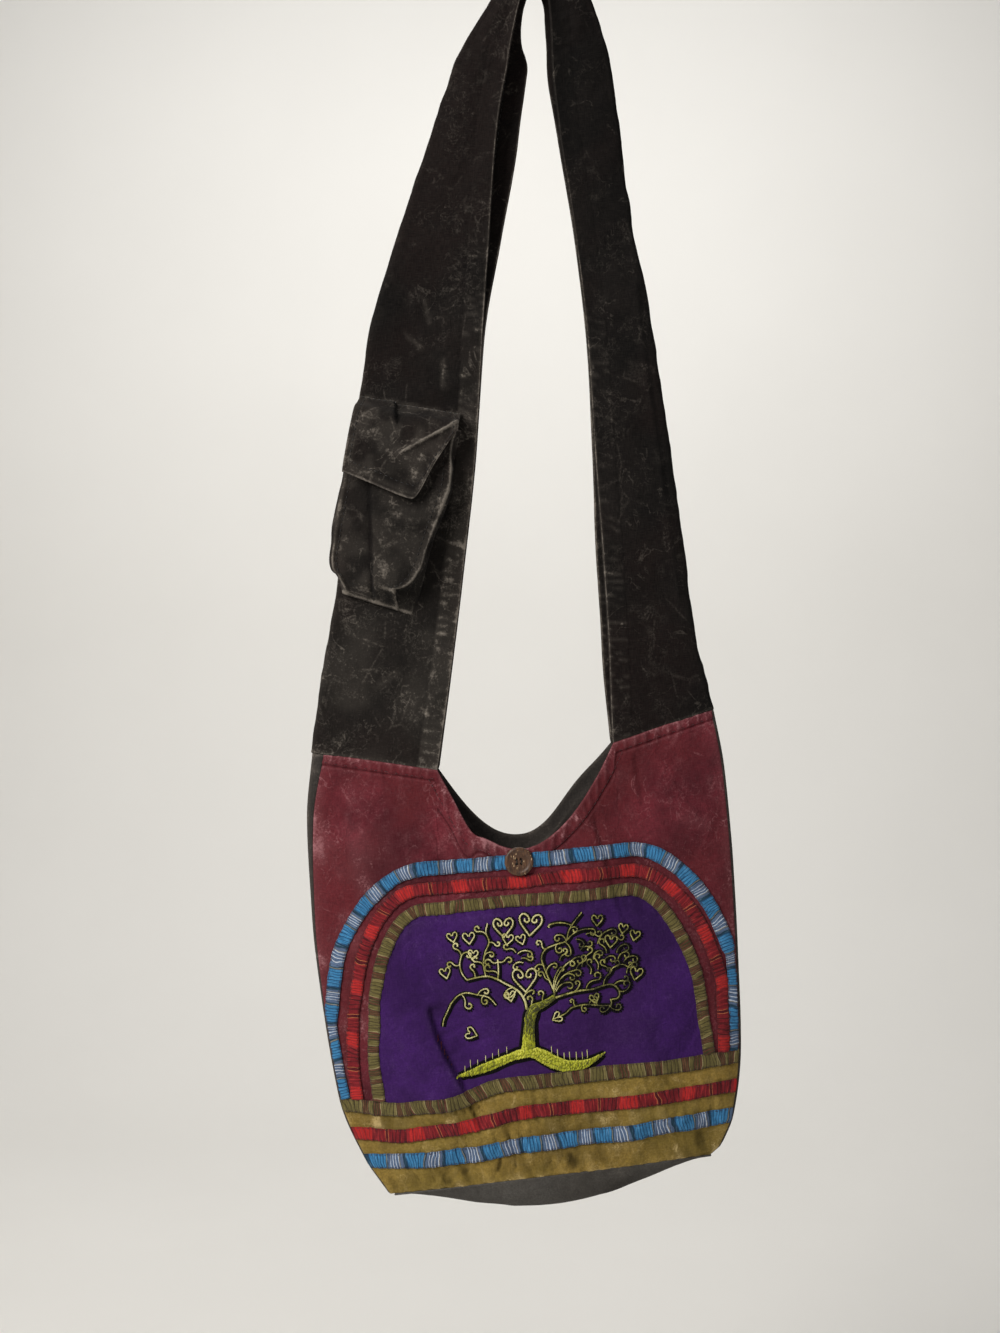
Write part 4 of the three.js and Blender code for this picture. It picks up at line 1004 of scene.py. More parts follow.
# Creases of the front layer: from x, z to x, z, height of the crest (a valley where negative) and its width
STRAP_CREASES = [
    (70, -245, 76.3, -297.5, -1.5, 2.2),
    (76.3, -297.5, 91.7, -402.5, -1.7, 2.2),
    (91.7, -402.5, 101, -470, -1.4, 2.2),
    (-91.7, -280, -79.1, -290.5, 0.9, 1.3),
    (-65.1, -296, -65.1, -318.5, 0.9, 1.3),
    (-78.4, -254, -74.2, -273.7, 0.9, 1.3),
    (-112, -527, -95.2, -514.5, 0.9, 1.3),
]


def strap_end(seam):
    """Section where the strap meets the top of the body."""
    outer, inner = to_bag(seam[0], 0, seam[1]), to_bag(seam[2], 0, seam[3])
    gap = float(stand_out(seam[2], seam[3], front_bulge, [])) - 0.75
    return (outer[0], outer[2], inner[0], inner[2], gap, 0, 0)


STRAP_ROWS = [(k,) + row for k, row in enumerate([strap_end(LEFT_SEAM)] + STRAP + [strap_end(RIGHT_SEAM)])]
strap_columns = [curve(STRAP_ROWS, k) for k in range(1, 8)]


def strap():
    """One band folded along the outside of the loop, with a stitched hem along both free edges."""
    key = np.linspace(0, len(STRAP_ROWS) - 1, 520)
    out_x, out_z, in_x, in_z, gap, more, pleat = (column(key) for column in strap_columns)
    width = np.hypot(in_x - out_x, in_z - out_z)
    inward = np.stack([(in_x - out_x) / width, 0 * width, (in_z - out_z) / width], -1)
    rest = np.linspace(0, 1, 23)[1:]
    per_layer = len(HEM_COLUMNS) + len(rest)

    def layer(reach, side):
        span = (reach - FOLD)[:, None]
        hem = HEM_COLUMNS[None] * np.minimum(1, span / 26)
        edge = np.concatenate([hem, lerp(hem[:, -1:], span, rest[None])], 1)
        t = 1 - edge / span
        y = lerp(FOLD, gap[:, None], t) + pleat[:, None] * np.sin(2 * math.pi * t)
        return FOLD + t * span, side * y, edge

    front_x, front_depth, front_edge = layer(width, -1)
    back_x, back_depth, back_edge = layer(width + more, 1)
    turn = np.radians(np.linspace(-90, -270, 13))[1:-1]
    round_fold = (FOLD + FOLD * np.cos(turn), FOLD * np.sin(turn))
    fold_x, fold_y = (np.broadcast_to(v, (len(key), len(turn))) for v in round_fold)
    x = np.concatenate([front_x, fold_x, back_x[:, ::-1]], 1)
    y = np.concatenate([front_depth, fold_y, back_depth[:, ::-1]], 1)
    edge = np.concatenate([front_edge, np.full(fold_x.shape, 99.0), back_edge[:, ::-1]], 1)
    gone = travelled(pair(out_x + in_x, out_z + in_z) / 2)
    s = np.broadcast_to(gone[:, None], x.shape)
    a = run_along(x, y)
    to_x, to_y = square_to(x, y, 1)
    fold_line = np.stack([out_x, 0 * out_x, out_z], -1)[:, None]

    def cloth(out):
        points = fold_line + inward[:, None] * (x + to_x * out)[..., None]
        points[..., 1] = y + to_y * out
        return points

    to_end = np.minimum(s, gone[-1] - s)
    pucker = waves(s, 0 * a, 8, 84)
    crumple = noise(s + 0.5 * a, a, 38, 81) + 0.6 * noise(s, a + 0.4 * s, 17, 82)
    crumple += 0.9 * facets(s - 0.6 * a, a, 26, 83) + 0.35 * facets(s + a, a, 11, 87)
    lift = (crumple + 0.4 * pucker * fade(edge - STRAP_HEM, 5)) * ramp(to_end, 0, 16)
    spot = cloth(0 * x)
    front = (np.arange(x.shape[1]) < per_layer)[None] * np.ones_like(x)
    tuck, share = to_segment(spot[..., 0], spot[..., 2], POCKET_TUCK)
    left = s < gone[-1] / 2
    on_tuck = front * inside(share, 0.02) * left
    lift += on_tuck * (0.9 * bell(tuck, 1.4) - 0.5 * bell(np.abs(tuck) - 2.6, 0.9))
    down = -spot[..., 2]
    low = ramp(down, 230, 430)
    at_hem = (1 - ramp(edge, STRAP_HEM - 2, STRAP_HEM + 1)) * ramp(down, 150, 330)
    wear_and_shade = 0.75 * fade(edge, 0.5) + 0.3 * fade(x, 0.8) + 0.4 * fade(to_end, 1.5)
    wear_and_shade += 0.5 * on_tuck * bell(tuck, 1.2)
    dashes = ramp(waves(s, a, 5.5, 88), 0.1, 0.9) * ramp(noise(2 * s, a, 7, 85), -0.4, 0.4)
    wear_and_shade += at_hem * lerp(0.1 + 0.3 * dashes, 0.15 + 0.42 * dashes, left)
    # Paler in blotches towards the bottom of the left half.
    blotches = 1 + ramp(noise(s, a, 22, 86), -0.3, 0.7) + ramp(crumple, 0.7, 1.7)
    wear_and_shade += 0.2 * low * left * blotches
    # Painted shade darkens the right half towards the top; crumpled crests low down turn paler.
    wear_and_shade += 0.25 * low * ramp(crumple, 1.0, 2.0) - 0.35 * (1 - left) * ramp(-down, -300, -120)
    for line in STRAP_CREASES:
        away, share = to_segment(spot[..., 0], spot[..., 2], line)
        crest = front * inside(share, 0.15) * fade(away, line[5])
        lift += line[4] * crest
        # Crests turn paler; valleys get painted shade.
        wear_and_shade += (0.6 if line[4] > 0 else 0.35) * line[4] * crest
    thick = 0.62 + 0.2 * (1 - ramp(edge, STRAP_HEM - 0.5, STRAP_HEM + 0.7))
    thick -= 0.3 * bell(edge - STRAP_HEM, 0.7)
    outer, inner = cloth(lift + thick), cloth(lift - thick)
    at_seam = int(np.argmax(HEM_COLUMNS == STRAP_HEM))
    sew_columns(DARK_SEWING, outer, inner, (at_seam, -1 - at_seam), STRAP_STITCH)
    return slab("strap_cloth", outer, inner, pair(s, a), wear_and_shade, BLACK)


# Pocket on the left half of the strap, in a frame at the middle of its mouth
POCKET_PLACE, POCKET_LEAN = (-88, -5.15, -344), math.atan2(8.4, 77)
# down from the mouth: both sides, depth, and how far the front face sags to the left
POUCH = [
    (0, -37, 36, 8, 2), (40, -38, 31, 12, 4), (85, -38, 24, 16, 7),
    (110, -38, 20, 15, 8), (126, -34, 15, 3, 2),
]
pouch_left, pouch_right, pouch_depth, pouch_sag = (curve(POUCH, k) for k in range(1, 5))
POUCH_CREASE = (-22.7, -43, -11.6, -124)  # from x, z to x, z
# steps of the flap's profile: out and up; then across the flap: its lean and its reach
FLAP_PROFILE = [(0, -1.2, 13), (1, 3.5, 8.5), (2, 10.5, 3), (3, 13.2, -9), (4, 15.4, -27), (5, 17.4, -52)]
FLAP_EDGE = [(-36, -5, 0.92), (-18, -4, 0.95), (8, 0, 1), (22, 0, 0.76), (34, 0, 0.46)]
FLAP_LEFT, FLAP_RIGHT = FLAP_EDGE[0][0], FLAP_EDGE[-1][0]
FLAP_SLANT = 0.07
FLAP_PINCH, FLAP_DART = (-6.5, -24, 33, 3), (-12, 15, -8, -2)  # from x, z to x, z
flap_out, flap_up = (curve(FLAP_PROFILE, k) for k in (1, 2))
flap_lean, flap_reach = (curve(FLAP_EDGE, k) for k in (1, 2))


def to_pocket(x, y, z):
    c, s = math.cos(POCKET_LEAN), math.sin(POCKET_LEAN)
    px, py, pz = POCKET_PLACE
    return np.stack([px + x * c + z * s, py + y, pz - x * s + z * c], -1)


def pocket_pouch():
    down = np.concatenate([np.linspace(0, 100, 54), np.linspace(101, 126, 30)])
    left, right, sag = pouch_left(down), pouch_right(down), pouch_sag(down)
    depth = np.maximum(pouch_depth(down), 1.6)
    bend = 1 - np.sqrt(1 - 0.98 * np.clip((down - 92) / 21, 0, 1) ** 2)
    face_left, face_right = left - sag + 7 * bend, right - sag + 8 * ramp(down, 5, 45) - 17 * bend
    cut = 0.22 * depth
    tuck = np.minimum(3.2, cut)
    corners = [
        (left, 0 * down),
        (lerp(left, face_left, 0.5) + tuck, -depth / 2),
        (face_left + 0.3, -(depth - cut)),
        (face_left + cut, -depth),
        (lerp(face_left, face_right, 0.5), -depth - 1.2),
        (face_right - cut, -depth),
        (face_right - 0.3, -(depth - cut)),
        (lerp(right, face_right, 0.5) - tuck, -depth / 2),
        (right, 0 * down),
    ]
    counts = [8, 8, 5, 22, 22, 5, 8, 8]
    kind = np.repeat(np.arange(8), counts)
    t = np.concatenate([np.linspace(0, 1, n, endpoint=k == 7) for k, n in enumerate(counts)])[None]
    side = lambda k: np.stack([corners[i][k] for i in range(9)], 1)
    x, y = (lerp(side(k)[:, kind], side(k)[:, kind + 1], t) for k in (0, 1))
    d = np.broadcast_to(down[:, None], x.shape)
    to_x, to_y = square_to(x, y, 1)
    front = np.isin(kind, (3, 4))[None]
    gusset = (kind > 4)[None] * ramp(d, 70, 95)
    crumple = 0.9 * noise(x, d, 24, 91) + 0.5 * noise(x + d, d, 12, 92)
    crumple += 0.9 * facets(x, d + 0.5 * x, 22, 93) + (0.3 + 1.2 * gusset) * facets(x - y, d, 9, 95)
    hold = ramp(-y, 0.5, 5) * ramp(d, 0, 8) * (1 - ramp(d, 116, 126))
    seam = np.minimum(np.abs(x - (face_left + cut)[:, None]), np.abs(x - (face_right - cut)[:, None]))
    away, share = to_segment(x, -d, POUCH_CREASE)
    step = -1.2 * np.tanh(away / 0.7) * fade(away, 9) - 2.0 * fade(away, 1.3)
    lift = crumple * hold + inside(share, 0.08) * front * step + 0.4 * (1 - ramp(d, 5, 6.5)) * front
    lift += (0.8 * bell(seam, 1.2) - 0.4 * bell(seam - 3.6, 0.8) * front) * ramp(-y, 1, 4)
    tilt = -5 * np.clip((x + 11) / 26, -1, 1) * ramp(d, 92, 122)
    cloth = lambda out: to_pocket(x + to_x * out, y + to_y * out, tilt - d)
    on_right = x > 0.5 * (left + right)[:, None]
    low = ramp(d, 85, 105)
    wear_and_shade = (0.35 + 0.7 * on_right + 0.5 * low) * bell(seam, 0.75) * ramp(-y, 1, 5)
    wear_and_shade += 0.7 * bell(d - 125, 1.2)
    wear_and_shade += 0.7 * bell(d - 114, 1.6) * front * ramp(x, -16, -4) + 0.4 * fade(d, 1.5)
    wear_and_shade += 0.2 + 0.18 * ramp(noise(x, d, 9, 94), -0.4, 0.6) + 0.2 * ramp(crumple, 0.4, 1.5)
    # Painted shade along the pressed crease of the pouch's front.
    wear_and_shade -= 0.7 * inside(share, 0.08) * front * bell(away, 1.0)
    outer, inner = cloth(lift), cloth(lift - POCKET_CLOTH)
    beside = (int(np.argmax(kind == 3)) + 2, int(np.argmax(kind == 5)) - 3)
    sew_columns(DARK_SEWING, outer[2:70], inner[2:70], beside, POCKET_STITCH)
    return slab("pocket_pouch_cloth", outer, inner, pair(x - y, d), wear_and_shade, BLACK)


def pocket_flap():
    across = np.linspace(FLAP_LEFT, FLAP_RIGHT, 66)[:, None]
    t = np.linspace(0, 1, 74)[None]
    key = t * flap_reach(across) * (len(FLAP_PROFILE) - 1)
    out, up = flap_out(key), flap_up(key)
    back = np.maximum(0, key - 0.05)
    du, dv = flap_out(key + 0.05) - flap_out(back), flap_up(key + 0.05) - flap_up(back)
    size = np.hypot(du, dv)
    x = across + flap_lean(across) * t
    height = up - FLAP_SLANT * across
    gone = run_along(out, up)
    to_side = np.minimum(across - FLAP_LEFT, FLAP_RIGHT - across) + 0.5
    to_edge = np.minimum(gone[:, -1:] - gone, to_side)
    crumple = 0.7 * noise(x, gone, 22, 101) + 0.4 * noise(x + gone, gone, 11, 102)
    crumple += 0.8 * facets(x, gone, 20, 103)
    lift = (crumple + 0.3 * facets(x + gone, gone, 9, 105)) * ramp(gone, 2, 14)
    lift += 0.35 * (1 - ramp(to_edge, 3.4, 4.4)) - 0.3 * bell(to_edge - 3.8, 0.7)
    away, share = to_segment(x, height, FLAP_PINCH)
    pinch = ramp(share, -0.05, 0.2) * (1 - 0.3 * ramp(share, 0.8, 1.0))
    lift += pinch * (2.2 * fade(away, 2.2) - 1.2 * ramp(away, 0, 3) * fade(away, 14))
    dart, along = to_segment(x, height, FLAP_DART)
    darted = ramp(along, -0.3, 0.2) * (1 - ramp(along, 0.7, 1.3))
    lift += darted * 1.7 * np.tanh(dart / 0.8) * fade(dart, 10)

    def cloth(over):
        o = over + lift
        return to_pocket(x, -(out + 1.2 - dv / size * o), height + du / size * o)

    outer, inner = cloth(POCKET_CLOTH), cloth(0.0)
    wear_and_shade = 0.6 * fade(to_edge, 0.7) + 1.3 * pinch * bell(away, 0.9) + 0.25 * bell(to_edge - 4, 1.4)
    wear_and_shade += 0.18 + 0.26 * ramp(noise(x, gone, 8, 104), -0.2, 0.6) + 0.22 * ramp(crumple, 0.4, 1.3)
    # Paler at the fold along the top; painted shade along the dart.
    wear_and_shade += 0.4 * fade(gone, 1.5) - 0.5 * darted * bell(dart, 0.9)
    normals = unit(outer - inner)
    last = outer.shape[1] - 6
    around = lambda grid: np.vstack([grid[3, 6:last], grid[3:-3, last], grid[-4, last:6:-1]])
    for path, up in ((outer[:, 2], normals[:, 2]), (around(outer), around(normals))):
        DARK_SEWING.append(stitch_lines(path, up, *POCKET_STITCH))
    return slab("pocket_flap_cloth", outer, inner, pair(x, gone), wear_and_shade, BLACK)


# Button with four holes and its thread
BUTTON_U, BUTTON_H, BUTTON_SIZE = 4.3, 220.7, 0.95
HOLE_OFFSET, HOLE_TURN = 2.3, 0.75
# radius and height, from the middle of the face over the rim to the back
BUTTON_PROFILE = [
    (0, 2.45), (3, 2.45), (6, 2.5), (7.2, 2.75), (8.2, 3.12), (9.0, 3.2), (9.7, 3.05), (10.2, 2.6),
    (10.45, 2.0), (10.5, 1.4), (10.35, 0.8), (10.0, 0.35), (9.3, 0.05), (8.5, 0),
]


def button():
    profile = smooth_path(BUTTON_PROFILE, 0.28)[1:]
    angle = np.linspace(0, 2 * math.pi, 97)[None, :-1]
    x, y = profile[:, :1] * np.cos(angle), profile[:, :1] * np.sin(angle)
    turns = HOLE_TURN + np.arange(4) * math.pi / 2
    holes = HOLE_OFFSET * pair(np.cos(turns), np.sin(turns))
    face = (np.arange(len(profile)) < len(profile) // 2)[:, None]
    z = profile[:, 1:] + 0.05 * noise(x, y, 1.5, 111) * face
    for hole in holes:
        z -= 1.2 * face * (1 - ramp(np.hypot(x - hole[0], y - hole[1]), 0.6, 1.1))
    base = float(front_y(BUTTON_U, BUTTON_H)) - 2.1
    put = lambda px, py, pz: to_bag(BUTTON_U + BUTTON_SIZE * px, base - pz, BUTTON_H + BUTTON_SIZE * py)
    index = np.arange(x.size).reshape(x.shape)
    closed = np.hstack([index, index[:, :1]])
    faces = quads_of(closed)[:, ::-1].tolist()
    for rim, middle in ((closed[0], x.size), (closed[-1, ::-1], x.size + 1)):
        faces += [[middle, int(b), int(a)] for a, b in zip(rim[:-1], rim[1:])]
    points = np.vstack([put(x, y, z).reshape(-1, 3), put(0, 0, 2.45), put(0, 0, 0.0)])
    piece = mesh_object("button_shell", points, faces, SHELL)
    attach(piece, "root")
    lines = []
    t = np.linspace(0, 1, 7)
    for a, b in ((holes[0], holes[3]), (holes[1], holes[2])):
        for k in range(5):
            side = (k - 2) * 0.26
            rise = 2.2 + 0.55 * np.sin(math.pi * t) + 0.12 * (k % 2) - 1.0 * (np.abs(t - 0.5) > 0.45)
            lines.append(put(lerp(a[0], b[0], t) + side * 0.15, lerp(a[1], b[1], t) + side, rise))
    return piece, tubes("button_thread", lines, OUT_FRONT, 0.26, BLACK_THREAD, 6)


# Embroidered tree in its own upright frame, from the foot of the trunk
TREE_U, TREE_H = -5.3, 92.0
# points, width at the start and at the end
LIMBS = [
    ([(-0.8, 27.7), (-2.1, 33.2), (-5.5, 38.9), (-10.1, 42.3), (-15.8, 45.2), (-20.9, 48), (-27.2, 50.1),
      (-34.1, 49.5), (-41.5, 47.5)], 2.6, 1.0),
    ([(-20.7, 48), (-20.2, 52.6), (-20.4, 57.2), (-20.7, 61.2)], 1.5, 1.2),
    ([(18, 36), (18, 40), (14.5, 48), (10.8, 57.2), (9.4, 62.9), (12.2, 68.6), (19.7, 72.1), (26, 74.4),
      (27.7, 80.1), (30.5, 85.8), (36.8, 93.8)], 1.9, 0.6),
    ([(17.5, 35), (26.5, 37.8), (35.7, 40.3), (44.8, 41.2), (54, 44), (59.7, 43.5), (63.1, 38.9),
      (62, 34.9), (56.9, 33.7)], 2.1, 1.1),
    ([(17.4, 21.2), (25.4, 24.6), (30.5, 28.8), (39.1, 30.7), (49.4, 30), (56.3, 29.7)], 0.9, 1.2),
    ([(-41.5, 47.5), (-45, 52), (-46.5, 58), (-45.5, 64)], 1.1, 0.9),
    ([(-28.9, 50), (-30.5, 58), (-29.5, 66), (-26.7, 73.2), (-28.9, 80.1), (-27.8, 86)], 1.2, 1.1),
    ([(-53, 30.3), (-55.8, 24), (-57.9, 19.4), (-58.7, 14.9)], 1.2, 0.8),
    ([(-53, 30.3), (-48, 36), (-42, 38.5), (-35, 37.5), (-27, 35.5), (-22, 30.5)], 1.2, 1.0),
]
# Twigs: from x, y to x, y, how far they bow, radius of the curl at the end, and its turn in degrees
TWIGS = [
    (29, 58, 34.5, 63.5, 1.4, 2.3, -290), (24, 50, 30.5, 51.5, 1.0, 1.9, -280),
    (33, 54, 38.5, 60.5, 1.2, 2.0, 290), (48, 55, 46.5, 61.5, -1.0, 2.0, -290),
    (52, 60, 57.5, 64, 1.2, 2.0, -280), (54, 66, 50.5, 71.5, -1.0, 2.0, -290),
    (61, 66, 66.5, 71.5, 1.4, 2.2, -290), (66, 60, 73.5, 63.5, 1.4, 2.0, -290),
    (36, 68, 41.5, 70.5, 1.0, 1.9, 280), (22, 61, 25.5, 65.5, 1.0, 1.8, 280),
    (40, 79, 47, 78, 1.2, 2.0, 280), (56, 77, 62.5, 75.5, 1.2, 1.9, 280),
    (-20.7, 60, -25.5, 60.5, 1.2, 2.0, 280), (-20.7, 60, -15.2, 61.8, -1.2, 2.0, -280),
    (-20.3, 52, -26.3, 53.5, -0.8, 2.2, -300), (-10, 42.3, -16, 38, -1.2, 1.8, 280),
    (-8, 41, -12.5, 35.6, 0.8, 1.6, -260), (-3, 36, 2, 40.5, 0.6, 1.5, -200),
    (5.5, 27, 3, 33.5, 1.6, 1.9, 250), (11, 31.5, 10.5, 37, 0.8, 1.9, 270),
    (12.6, 53, 17.5, 59, 1.2, 1.6, -270), (11, 57, 5.5, 57, -1.4, 1.7, 260),
    (14.8, 47.5, 11, 51.5, 0.9, 1.8, 280), (18, 40, 28.5, 60, 2.6, 2.0, -280),
    (19, 41, 33.5, 54.5, 3.2, 2.1, -290), (19.5, 40, 28, 46, 1.6, 2.2, -270),
    (17.6, 42, 21.5, 55.5, 1.2, 1.6, -250), (26.5, 38, 35.5, 44.5, -1.8, 1.6, 260),
    (12, 68.4, 9.5, 72.3, 0.8, 1.8, 280), (20, 72, 19.5, 67.5, -0.8, 1.9, 290),
    (25, 74, 29.5, 66.5, 1.2, 1.9, -280), (26, 74.4, 20.5, 78.5, -1.6, 2.0, 290),
    (27.8, 80, 31.5, 84, 1.2, 1.8, -290), (26.5, 74.5, 44, 82.5, 2.8, 2.1, -290),
    (33, 75.5, 38, 73.5, 0.8, 1.8, -270), (48, 72.5, 58, 82, 2.2, 2.1, -290),
    (30, 85, 15, 85.5, -1.6, 1.2, 120), (40, 41, 47, 47.5, 2.0, 2.6, 300),
    (37, 57, 43, 66, 1.4, 1.9, 280), (43, 52, 41.5, 58, -1.2, 1.9, -280),
    (52, 43.5, 56.5, 52.5, 1.2, 1.7, 280), (56.5, 52, 51.5, 57.5, -1.2, 1.9, -290),
    (56.5, 52, 61, 57, 1.2, 1.9, 280), (45, 62, 48.5, 67.5, 1.2, 1.8, -280),
    (62, 62, 67, 66.5, 1.2, 2.0, -290), (60, 57, 68.5, 56.5, 1.4, 1.9, 280),
    (68, 52, 72.5, 59, 1.4, 1.8, -270), (62.8, 39.5, 70, 43, -1.6, 2.3, 280),
    (59, 43.6, 66.5, 46.5, 1.4, 1.8, 280), (56.3, 29.7, 52.5, 25.5, 0.8, 1.9, -290),
    (56.3, 29.7, 61.5, 26.5, -0.8, 2.1, 300), (57, 33.6, 57, 29.5, 0.6, 0.9, 60),
    (33, 29.5, 31.5, 32.5, 0.6, 1.3, 270), (38, 30.7, 37, 27.4, -0.6, 1.5, 280),
    (42, 30.6, 45, 34, 0.8, 1.3, -260), (48, 30.1, 47.5, 33.8, 0.6, 1.3, 250),
    (-30, 37, -31.5, 32.5, -0.8, 1.8, 280), (-34, 37.5, -29.5, 41.5, 0.9, 1.8, -280),
    (-45, 37, -43, 30.5, 0.8, 2.3, 300), (-30.3, 57, -35.5, 60, -1.0, 1.8, -280),
    (-29.8, 64, -25.3, 66.5, 0.8, 1.6, -280), (-28.5, 78, -34, 80.5, -1.0, 1.9, -290),
    (-26.8, 73, -22.5, 71.5, 0.8, 1.6, 270), (-46.5, 58, -51.5, 58.5, 1.2, 1.9, 290),
    (-45.6, 63, -41, 66.5, 1.2, 1.8, -280), (-45.5, 64, -49.5, 68.5, -1.0, 1.9, -290),
    (-36, 49.4, -38.5, 55, -0.8, 1.7, -270), (-8.4, 66.5, -13.8, 68.5, -1.2, 1.8, -280),
    (-7, 65.5, 1.5, 67, 1.4, 1.8, -290), (-3.5, 59.5, -9.5, 58, -1.0, 1.7, 260),
    (-4.5, 62.5, 0.5, 61.5, 0.6, 1.6, 280),
]
# Hearts: x and y of the point, size, lean in degrees
HEARTS = [
    (-1.5, 39.5, 17.5, 4), (1.2, 77.8, 16.5, -4), (-16.5, 76.5, 14.5, 3), (-14.5, 71.5, 8, -8),
    (-3.5, 72, 7, 20), (47.5, 84.5, 8, -2), (56.5, 69.5, 9, -8), (73, 74, 7.5, -14), (73.5, 47, 9.5, -14),
    (-11.5, 33, 7.5, 10), (17, 20.5, 7, -60), (-35, 8.5, 8.5, 72), (47, 31.6, 7, 18),
    (-40, 72, 8.5, 8), (-51, 73, 7.5, 14), (-38, 61.5, 7, -6), (-55.5, 48, 8, 16), (65, 79, 7, -12),
]
HEART_SIDE = [(0, 0), (0.26, 0.3), (0.47, 0.58), (0.5, 0.82), (0.36, 0.97), (0.16, 0.9), (0.06, 0.7)]
HEART_SCROLL = [(0.16, 0.6), (0.27, 0.66), (0.27, 0.75)]
BIG_HEART = 10  # hearts above this size have scrolls
# Hill: u, then its upper and lower edge; trunk: u, h and width, up into the right-hand limb
HILL = [
    (-56, 78.8, 77.8), (-45.4, 83, 77.8), (-34.8, 86.6, 78.9), (-21.8, 90.5, 83.1), (-12.5, 93.4, 86.1),
    (-3.8, 94.4, 87), (4.4, 91.5, 81.8), (12, 86, 76.7), (20.6, 82, 74), (30.2, 80.8, 73.9),
    (39.4, 81.7, 77.7), (47, 83.6, 82.6),
]
TRUNK = [
    (-4.8, 88.5, 16), (-4.5, 92, 12.5), (-4.2, 97.5, 9.6), (-2.1, 109.5, 8.1), (-0.6, 115, 8.4),
    (2.2, 119.2, 7.2), (6.9, 121, 5.2), (11.8, 122.7, 4.2), (17, 125.5, 3.2),
]
GRASS = (-50, -46, -41, -35.5, -30.5, -26, -20, 10.5, 14.5, 18.5, 22.5, 27, 31, 34.5)
hill_top, hill_low = curve(HILL, 1), curve(HILL, 2)


def turned(points, angle):
    c, s = math.cos(angle), math.sin(angle)
    x, y = points.T
    return pair(x * c - y * s, x * s + y * c)


def twig_path(x0, y0, x1, y1, bow, radius, turn):
    """A bowed stem that ends in a closing curl."""
    start, end = np.array([x0, y0]), np.array([x1, y1])
    way = end - start
    middle = (start + end) / 2 + np.array([-way[1], way[0]]) / np.linalg.norm(way) * bow * 2
    t = np.linspace(0, 1, 24)[:, None]
    stem = (1 - t) ** 2 * start + 2 * t * (1 - t) * middle + t**2 * end
    steps = 40
    sweep = math.radians(turn)
    angle = math.atan2(*(end - middle)[::-1]) + np.linspace(0, sweep, steps)
    size = 1.25 * radius * np.linspace(1, 0.42, steps) * abs(sweep) / steps
    curl = end + np.cumsum(pair(np.cos(angle), np.sin(angle)) * size[:, None], 0)
    return even(np.vstack([stem, curl[1:]]), 0.5)


def tree_strokes():
    """Every stroke of the crown on the front: its path, its width along it, how much brighter it is."""
    strokes = []
    for points, wide, thin in LIMBS:
        path = smooth_path(points, 0.5)
        strokes.append((path, np.linspace(wide, thin, len(path)) * 0.72, 0.0))
    for twig in TWIGS:
        path = twig_path(*twig)
        wide = lerp(0.9, 0.62, ramp(twig[2], -10, 60))
        strokes.append((path, wide * np.linspace(0.55, 1.5, len(path)), 0.0))
    for x, y, size, lean in HEARTS:
        half = np.array(HEART_SIDE + (HEART_SCROLL if size > BIG_HEART else []))
        for side in (-1, 1):
            points = turned(half * (side, 1) * size * 0.92, math.radians(lean)) + (x, y)
            path = smooth_path(points, 0.5)
            strokes.append((path, np.full(len(path), 1.2 if size > BIG_HEART else 0.85), 0.22))
    return [(turned(path, -ROLL) + (TREE_U, TREE_H), width, tone) for path, width, tone in strokes]


def on_centre(flat, out):
    u, h = flat[..., 0], flat[..., 1]
    return front_point(u, h, centre_lift(u, h) + out)


def cross_stitches(path, width, rng):
    """Satin stitches across a stroke, with the height of each of their points."""
    picked = even(np.column_stack([path, width]), 0.62)
    path, width = picked[:, :2], picked[:, 2:]
    along = tangents(path)
    half = left_of(along) * width * 0.5 + along * 0.27
    half = half - rng.uniform(-0.12, 0.12, (len(path), 2))
    line = path[:, None] + half[:, None] * lerp(-1, 1, STITCH)[None, :, None]
    return line, lerp(-0.15, 0.65, STITCH_RISE)[None] + rng.uniform(-0.05, 0.05, (len(path), 1))


def canopy(strokes, rng):
    lines, rises, tints = [], [], []
    for path, width, tone in strokes:
        line, rise = cross_stitches(path, width, rng)
        # Strokes grow darker towards the right: duller thread there, and painted shade.
        light = lerp(0.68, 0.16, ramp(line[:, 2, 0], 0, 50)) + tone + 0.42 * noise(*line[:, 2].T, 4, 122)
        lines.append(line)
        rises.append(rise)
        tints.append(light + rng.uniform(-0.16, 0.16, len(line)))
    for u in GRASS:
        h = float(hill_top(u)) - 0.8 + STITCH * rng.uniform(4.5, 7)
        lines.append(pair(u + STITCH * 0.4 + rng.uniform(-0.2, 0.2), h)[None])
        rises.append(lerp(-0.1, 0.4, STITCH_RISE)[None])
        tints.append(rng.uniform(0.6, 0.95, 1))
    points = on_centre(np.concatenate(lines), np.concatenate(rises))
    radius = rng.uniform(0.24, 0.31, len(points))
    return tubes("tree_branches", points, OUT_FRONT, radius, CANOPY, 4, np.concatenate(tints))


def outline_and_shadow(strokes):
    """Dark thread that shows round each stroke and along the hill, shifted down and to the right so that it
    also paints the strokes' shadow on the cloth.
    """
    u = np.linspace(-55, 46, 90)
    paths = [path for path, _, _ in strokes] + [pair(u, edge(u)) for edge in (hill_top, hill_low)]
    trunk = smooth_path(TRUNK, 1.0)
    way = tangents(trunk[:, :2])
    paths += [trunk[:, :2] + side * left_of(way) * trunk[:, 2:] for side in (-0.5, 0.5)]
    lines = []
    for path in paths:
        # Shifted down and to the right: painted shadow of the strokes on the cloth.
        path = even(path, 1.2) + (0.4, -0.5)
        lines.append(np.stack([path[:-1], (path[:-1] + path[1:]) / 2, path[1:]], 1))
    points = on_centre(np.concatenate(lines), 0.12)
    return tubes("shadowed_tree_outline", points, OUT_FRONT, 2.0, SHADE, 6, taper=1.0, flat=0.12)


